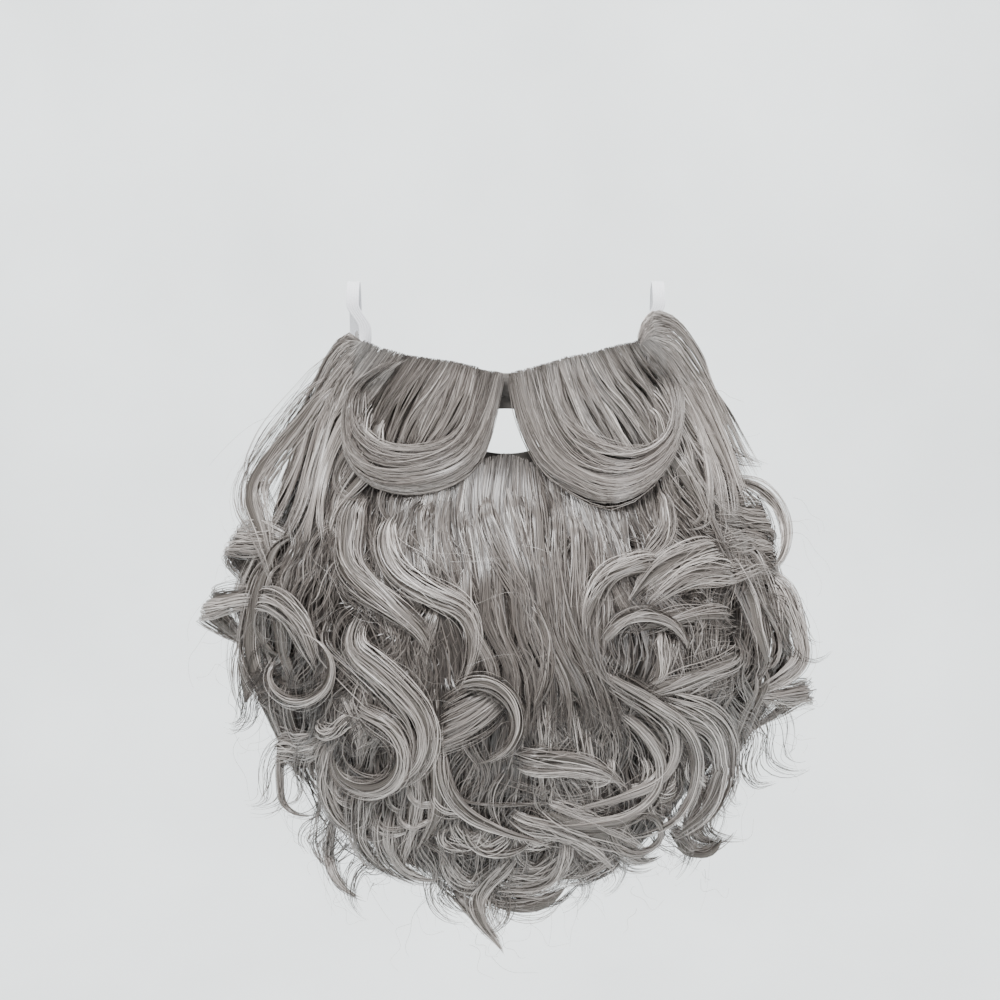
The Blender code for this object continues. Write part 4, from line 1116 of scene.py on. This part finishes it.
def mouth_edge(grown, sides):
    """The mouth opening's outline, across and up, grown by this much."""
    for angle in np.linspace(0, 2 * math.pi, sides, endpoint=False):
        across = (MOUTH_WIDTH / 2 + grown) * math.cos(angle)
        yield across, MOUTH_RISE + (MOUTH_HEIGHT / 2 + grown) * math.sin(angle)


def mouth_cutter(name, grown, front):
    sides = 48
    ring = list(mouth_edge(grown, sides))
    points = [(x, -front, z) for x, z in ring] + [(x, EAR_DEPTH / 2, z) for x, z in ring]
    faces = [tuple(range(sides)), tuple(range(2 * sides - 1, sides - 1, -1))]
    for side in range(sides):
        after = (side + 1) % sides
        faces.append((side, side + sides, after + sides, after))
    return mesh_object(name, points, faces)


def cut(target, cutters):
    """Cuts each of these out of the target, and removes them."""
    for cutter in cutters:
        step = target.modifiers.new(cutter.name, "BOOLEAN")
        step.operation = "DIFFERENCE"
        step.solver = "MANIFOLD"
        step.object = cutter
    graph = bpy.context.evaluated_depsgraph_get()
    mesh = bpy.data.meshes.new_from_object(target.evaluated_get(graph))
    target.modifiers.clear()
    target.data = mesh
    for cutter in cutters:
        bpy.data.objects.remove(cutter, do_unlink=True)


def head_room(name, reach):
    """The wearer's face and all that is above and behind it."""
    columns, levels = 48, 24
    front = [face_offset(2 * column / columns - 1, 0, reach, LIP_HEIGHT) for column in range(columns + 1)]
    front += grid(columns, levels, lambda turn, share: face_offset(turn, share * FACE_LAST, reach))
    behind = [Vector((point.x, 1.5 * EAR_DEPTH, point.z)) for point in front]
    return mesh_object(name, *closed_shell(front, behind, columns))


def hair_under_mass():
    """The body of hair below the strands, dark with painted shadow."""
    columns, levels = 56, 44

    def point(turn, share, inner):
        row = HairRow(*row_at(HAIR_ROWS, share * (len(HAIR_ROWS) - 1)))
        half_width = row.half_width * HAIR_HALF_WIDTH - 2 * MASS_INSET
        front = row.front * HAIR_FRONT + MASS_INSET
        if inner:
            half_width = row.inner_half_width * HAIR_HALF_WIDTH + 0.4 * MASS_INSET
            front = row.inner_front * HAIR_FRONT - 0.4 * MASS_INSET
        x, y = bow(half_width, front, row.back * EAR_DEPTH - MASS_INSET, HAIR_ROUNDNESS, turn)
        z = row.rise * edge_rise(turn) - row.down * HAIR_DROP * MASS_DROP
        return Vector((x + row.shift * HAIR_HALF_WIDTH, y, z))

    outside = grid(columns, levels, lambda turn, share: point(turn, share, False))
    inside = grid(columns, levels, lambda turn, share: point(turn, share, True))
    made = mesh_object("hair_mass", *closed_shell(outside, inside, columns), MASS_FINISH)
    cut(made, [head_room("head_space", NET_WALL + GAP), mouth_cutter("mouth_space", 0.006, EAR_DEPTH)])
    made.data.shade_smooth()
    place_piece(made, "beard_hair")


def net():
    columns, levels = 64, 32
    outer = grid(columns, levels, lambda turn, share: face_offset(turn, share * FACE_LAST, NET_WALL))
    inner = grid(columns, levels, lambda turn, share: face_offset(turn, share * FACE_LAST, NET_WALL * 0.4))
    made = mesh_object("net_cloth", *closed_shell(outer, inner, columns), NET_FINISH)
    cut(made, [mouth_cutter("mouth_hole", 0.0, EAR_DEPTH / 2)])
    made.data.shade_smooth()
    return place_piece(made, "net_base")


def tube_along(points, faces, line, outwards, wide, thick, closed, sides):
    """Adds a flat tube along a line, closed on itself or capped."""
    line = np.array([tuple(point) for point in line])
    outwards = unit(np.array([tuple(point) for point in outwards]))
    tangents = np.roll(line, -1, axis=0) - np.roll(line, 1, axis=0) if closed else np.gradient(line, axis=0)
    across = unit(np.cross(unit(tangents), outwards))
    base = len(points)
    for centre, side, out in zip(line, across, outwards):
        for number in range(sides):
            angle = 2 * math.pi * number / sides
            points.append(centre + side * wide / 2 * math.cos(angle) + out * thick / 2 * math.sin(angle))
    count = len(line)
    for number in range(count if closed else count - 1):
        here, there = base + number * sides, base + (number + 1) % count * sides
        for side in range(sides):
            after = (side + 1) % sides
            faces.append((here + side, here + after, there + after, there + side))
    if not closed:
        faces.append(tuple(range(base + sides - 1, base - 1, -1)))
        faces.append(tuple(range(base + (count - 1) * sides, base + count * sides)))


def halving(reaches, low, high):
    """The place between low and high where this stops being true, found by halving."""
    for _ in range(20):
        middle = (low + high) / 2
        low, high = (middle, high) if reaches(middle) else (low, middle)
    return low


def clear_of_mouth(place):
    across = place.x / (MOUTH_WIDTH / 2 + MOUTH_MARGIN)
    up = (place.z - MOUTH_RISE) / (MOUTH_HEIGHT / 2 + MOUTH_MARGIN)
    return across * across + up * up > 1 or place.y > EAR_DEPTH / 2


def net_tube(tubes, spots, depth, wide, thick, closed, sides):
    """Adds a tube along spots of the net, each a turn and a place counted in rows."""
    line = [face_offset(*spot, depth) for spot in spots]
    ways = [face_offset(*spot, NEAR) - face_offset(*spot, 0.0) for spot in spots]
    tube_along(*tubes, line, ways, wide, thick, closed, sides)


def thread_runs():
    """The crossing threads, each as spots of the net, broken at the mouth and at the edges."""
    for way in (-1, 1):
        for start in np.arange(-THREAD_REACH, THREAD_REACH, THREAD_SPACING):
            run = []
            for share in np.linspace(0.02, 0.98, 40):
                spot = (start + way * THREAD_SLANT * (share - 0.5), share * FACE_LAST)
                if abs(spot[0]) < EDGE_TURN and clear_of_mouth(face_offset(*spot, NET_WALL * 0.3)):
                    run.append(spot)
                    continue
                yield run
                run = []
            yield run


def net_edge():
    """The net's outline just inside its edge, as spots of the net."""
    top, bottom = 0.008 * FACE_LAST, 0.992 * FACE_LAST
    downs = np.linspace(0.03, 0.97, 50) * FACE_LAST
    edge = [(turn, top) for turn in np.linspace(-EDGE_TURN, EDGE_TURN, 90)]
    edge += [(EDGE_TURN, place) for place in downs]
    edge += [(turn, bottom) for turn in np.linspace(EDGE_TURN, -EDGE_TURN, 70)]
    return edge + [(-EDGE_TURN, place) for place in reversed(downs)]


def mouth_rim():
    """The outline of the mouth opening, as spots of the net."""
    for x, z in mouth_edge(0.0016, 72):
        place = halving(lambda middle: face_point(0.0, middle).z > z, 0.0, float(FACE_LAST))
        half_width = row_at(FACE_ROWS, place)[1] * FACE_HALF_WIDTH
        turn = 2 / math.pi * math.asin(min(1.0, abs(x) / half_width) ** (FACE_ROUNDNESS / 2))
        yield math.copysign(turn, x), place


def net_lines():
    """The net's threads, its folded edges and their stitches, inside the cloth."""
    threads, edging, stitches = ([], []), ([], []), ([], [])
    for run in thread_runs():
        if len(run) > 2:
            net_tube(threads, run, NET_WALL * 0.3, 0.0006, 0.0005, False, 4)
    edge = net_edge()
    net_tube(edging, edge, NET_WALL * 0.45, 0.0042, 0.0013, True, 8)
    net_tube(edging, list(mouth_rim()), NET_WALL * 0.45, 0.0032, 0.0014, True, 8)
    for here, there in zip(edge[::2], edge[1::2]):
        spots = [tuple(a * (1 - part) + b * part for a, b in zip(here, there)) for part in (0, 0.35, 0.7)]
        net_tube(stitches, spots, -0.0002, 0.0005, 0.0004, False, 5)
    made = (
        mesh_object("net_threads", *threads, THREAD_FINISH),
        mesh_object("net_edging", *edging, THREAD_FINISH),
        mesh_object("net_stitches", *stitches, STITCH_FINISH),
    )
    return [place_piece(piece, "net_base") for piece in made]


def face_side(y, z):
    """How far to one side the net stands at a depth and a height."""
    place = halving(lambda middle: face_point(1, middle).z > z, 0.0, float(FACE_LAST))
    _, half_width, front, back, _ = row_at(FACE_ROWS, place)
    deep = min(1.0, max(0.0, (back * EAR_DEPTH - y) / ((back - front) * EAR_DEPTH)))
    return half_width * FACE_HALF_WIDTH * (1 - deep**FACE_ROUNDNESS) ** (1 / FACE_ROUNDNESS)


def ear_loop(name, side, node):
    """A band with lengthwise ribs, sewn flat inside the net at both ends."""
    start = (LOOP_START_BACK, LOOP_START_UP)
    path = curl_path(start, LOOP_HEADING, LOOP_BENDS, LOOP_LENGTH, LOOP_LENGTH / LOOP_STEPS)[:, :3]
    outline = []
    for number in range(LOOP_RIBS * 4 + 1):
        rib = abs(math.sin(math.pi * number / 4))
        outline.append((number / (LOOP_RIBS * 2) - 1, 1 - RIB_DEPTH + RIB_DEPTH * rib))
    outline += [(across, -through) for across, through in reversed(outline)]
    points = []
    for number, (along, height, turned) in enumerate(path):
        share = number / (len(path) - 1)
        twist = ramp(share, LOOP_FLAT[0], LOOP_TURNED[0]) - ramp(share, LOOP_TURNED[1], LOOP_FLAT[1])
        free = ramp(share, LOOP_TURNED[0], LOOP_CLEAR[0]) - ramp(share, LOOP_CLEAR[1], LOOP_TURNED[1])
        angle = twist * math.pi / 2
        heading = math.radians(LOOP_HEADING + turned)
        outward = Vector((side, 0, 0))
        edge = Vector((0, math.sin(heading), -math.cos(heading))).cross(outward)
        wide = edge * math.cos(angle) + outward * math.sin(angle)
        thin = outward * math.cos(angle) - edge * math.sin(angle)
        reach = (LOOP_WIDTH * math.sin(angle) + LOOP_THICKNESS * math.cos(angle)) / 2
        corners = [Vector((0, along, height)) + wide * end * LOOP_WIDTH / 2 for end in (-1, 0, 1)]
        inside = min(face_side(corner.y, corner.z) for corner in corners) - LOOP_SEAT - reach
        centre = Vector((side * (inside + (FACE_HALF_WIDTH + LOOP_OUT - inside) * free), along, height))
        for across, through in outline:
            points.append(centre + wide * across * LOOP_WIDTH / 2 + thin * through * LOOP_THICKNESS / 2)
    size, count = len(outline), len(path)
    faces = [tuple(range(size)), tuple(range(size * count - 1, size * (count - 1) - 1, -1))]
    for start in range(0, size * (count - 1), size):
        for corner in range(size):
            here, after = start + corner, start + (corner + 1) % size
            faces.append((here, here + size, after + size, after))
    made = mesh_object(name, points, faces, ELASTIC_FINISH)
    made.data.set_sharp_from_angle(angle=math.radians(50))
    place_piece(made, node)


# Floor, lights and camera
def stage():
    sections = ((-3.0, -0.60), (1.2, -0.60), (1.6, -0.55), (1.85, -0.35), (1.95, 0.0), (1.95, 3.2))
    points = [(x, y, z) for y, z in sections for x in (-4, 4)]
    faces = [(start, start + 1, start + 3, start + 2) for start in range(0, 2 * len(sections) - 2, 2)]
    mesh_object("backdrop", points, faces, plain_finish("paper", (0.865, 0.90, 0.905), 0.9, 3, 0.0))


def area_light(name, place, target, size, power):
    data = bpy.data.lights.new(name, "AREA")
    data.shape = "RECTANGLE"
    data.size, data.size_y = size
    data.energy = power
    made = bpy.data.objects.new(name, data)
    made.location = place
    made.rotation_euler = (Vector(target) - Vector(place)).to_track_quat("-Z", "Y").to_euler()
    bpy.context.scene.collection.objects.link(made)


def lights():
    world = bpy.data.worlds.new("studio")
    bpy.context.scene.world = world
    world.use_nodes = True
    background = world.node_tree.nodes["Background"]
    background.inputs["Color"].default_value = (0.92, 0.93, 0.94, 1)
    background.inputs["Strength"].default_value = 0.65
    for light in LIGHTS:
        area_light(*light)


def camera():
    data = bpy.data.cameras.new("camera")
    data.lens = 115.2
    data.sensor_width = 36
    made = bpy.data.objects.new("camera", data)
    made.location = (-0.003, -1.585, -0.006)
    made.rotation_euler = (math.radians(90), 0, 0)
    bpy.context.scene.collection.objects.link(made)
    bpy.context.scene.camera = made


def hair_piece(name, *fillers):
    """A piece of hair that these functions fill."""
    hair = Hair(name)
    for fill in fillers:
        fill(hair)
    hair.build(HAIR_FINISH, "beard_hair")


camera()
hair_under_mass()
net_cloth = net()
net_lines()
ear_loop("ear_loop_left_band", -1, "ear_loop_left")
ear_loop("ear_loop_right_band", 1, "ear_loop_right")
moustache("moustache_left_strands", LEFT_RING, LEFT_FILL, LEFT_FALL, "moustache_left")
moustache("moustache_right_strands", RIGHT_RING, RIGHT_FILL, RIGHT_FALL, "moustache_right")
hair_piece("upper_strands", upper_hair)
core, left, right = Hair("lock_cores"), Hair("lock_strands_left"), Hair("lock_strands_right")
front_locks(left, right, core)
left.build(HAIR_FINISH, "beard_hair")
right.build(HAIR_FINISH, "beard_hair")
hair_piece("under_strands", under_locks, fringe)
hair_piece("deep_strands", deep_locks)
hair_piece("side_strands", lambda hair: side_locks(hair, core))
hair_piece("back_strands", lambda hair: back_locks(hair, core), back_sheets)
core.build(CORE_FINISH, "beard_hair")
hair_piece("loose_strands", flyaways)
hair_piece("front_sheet_strands", front_sheet)
stage()
lights()
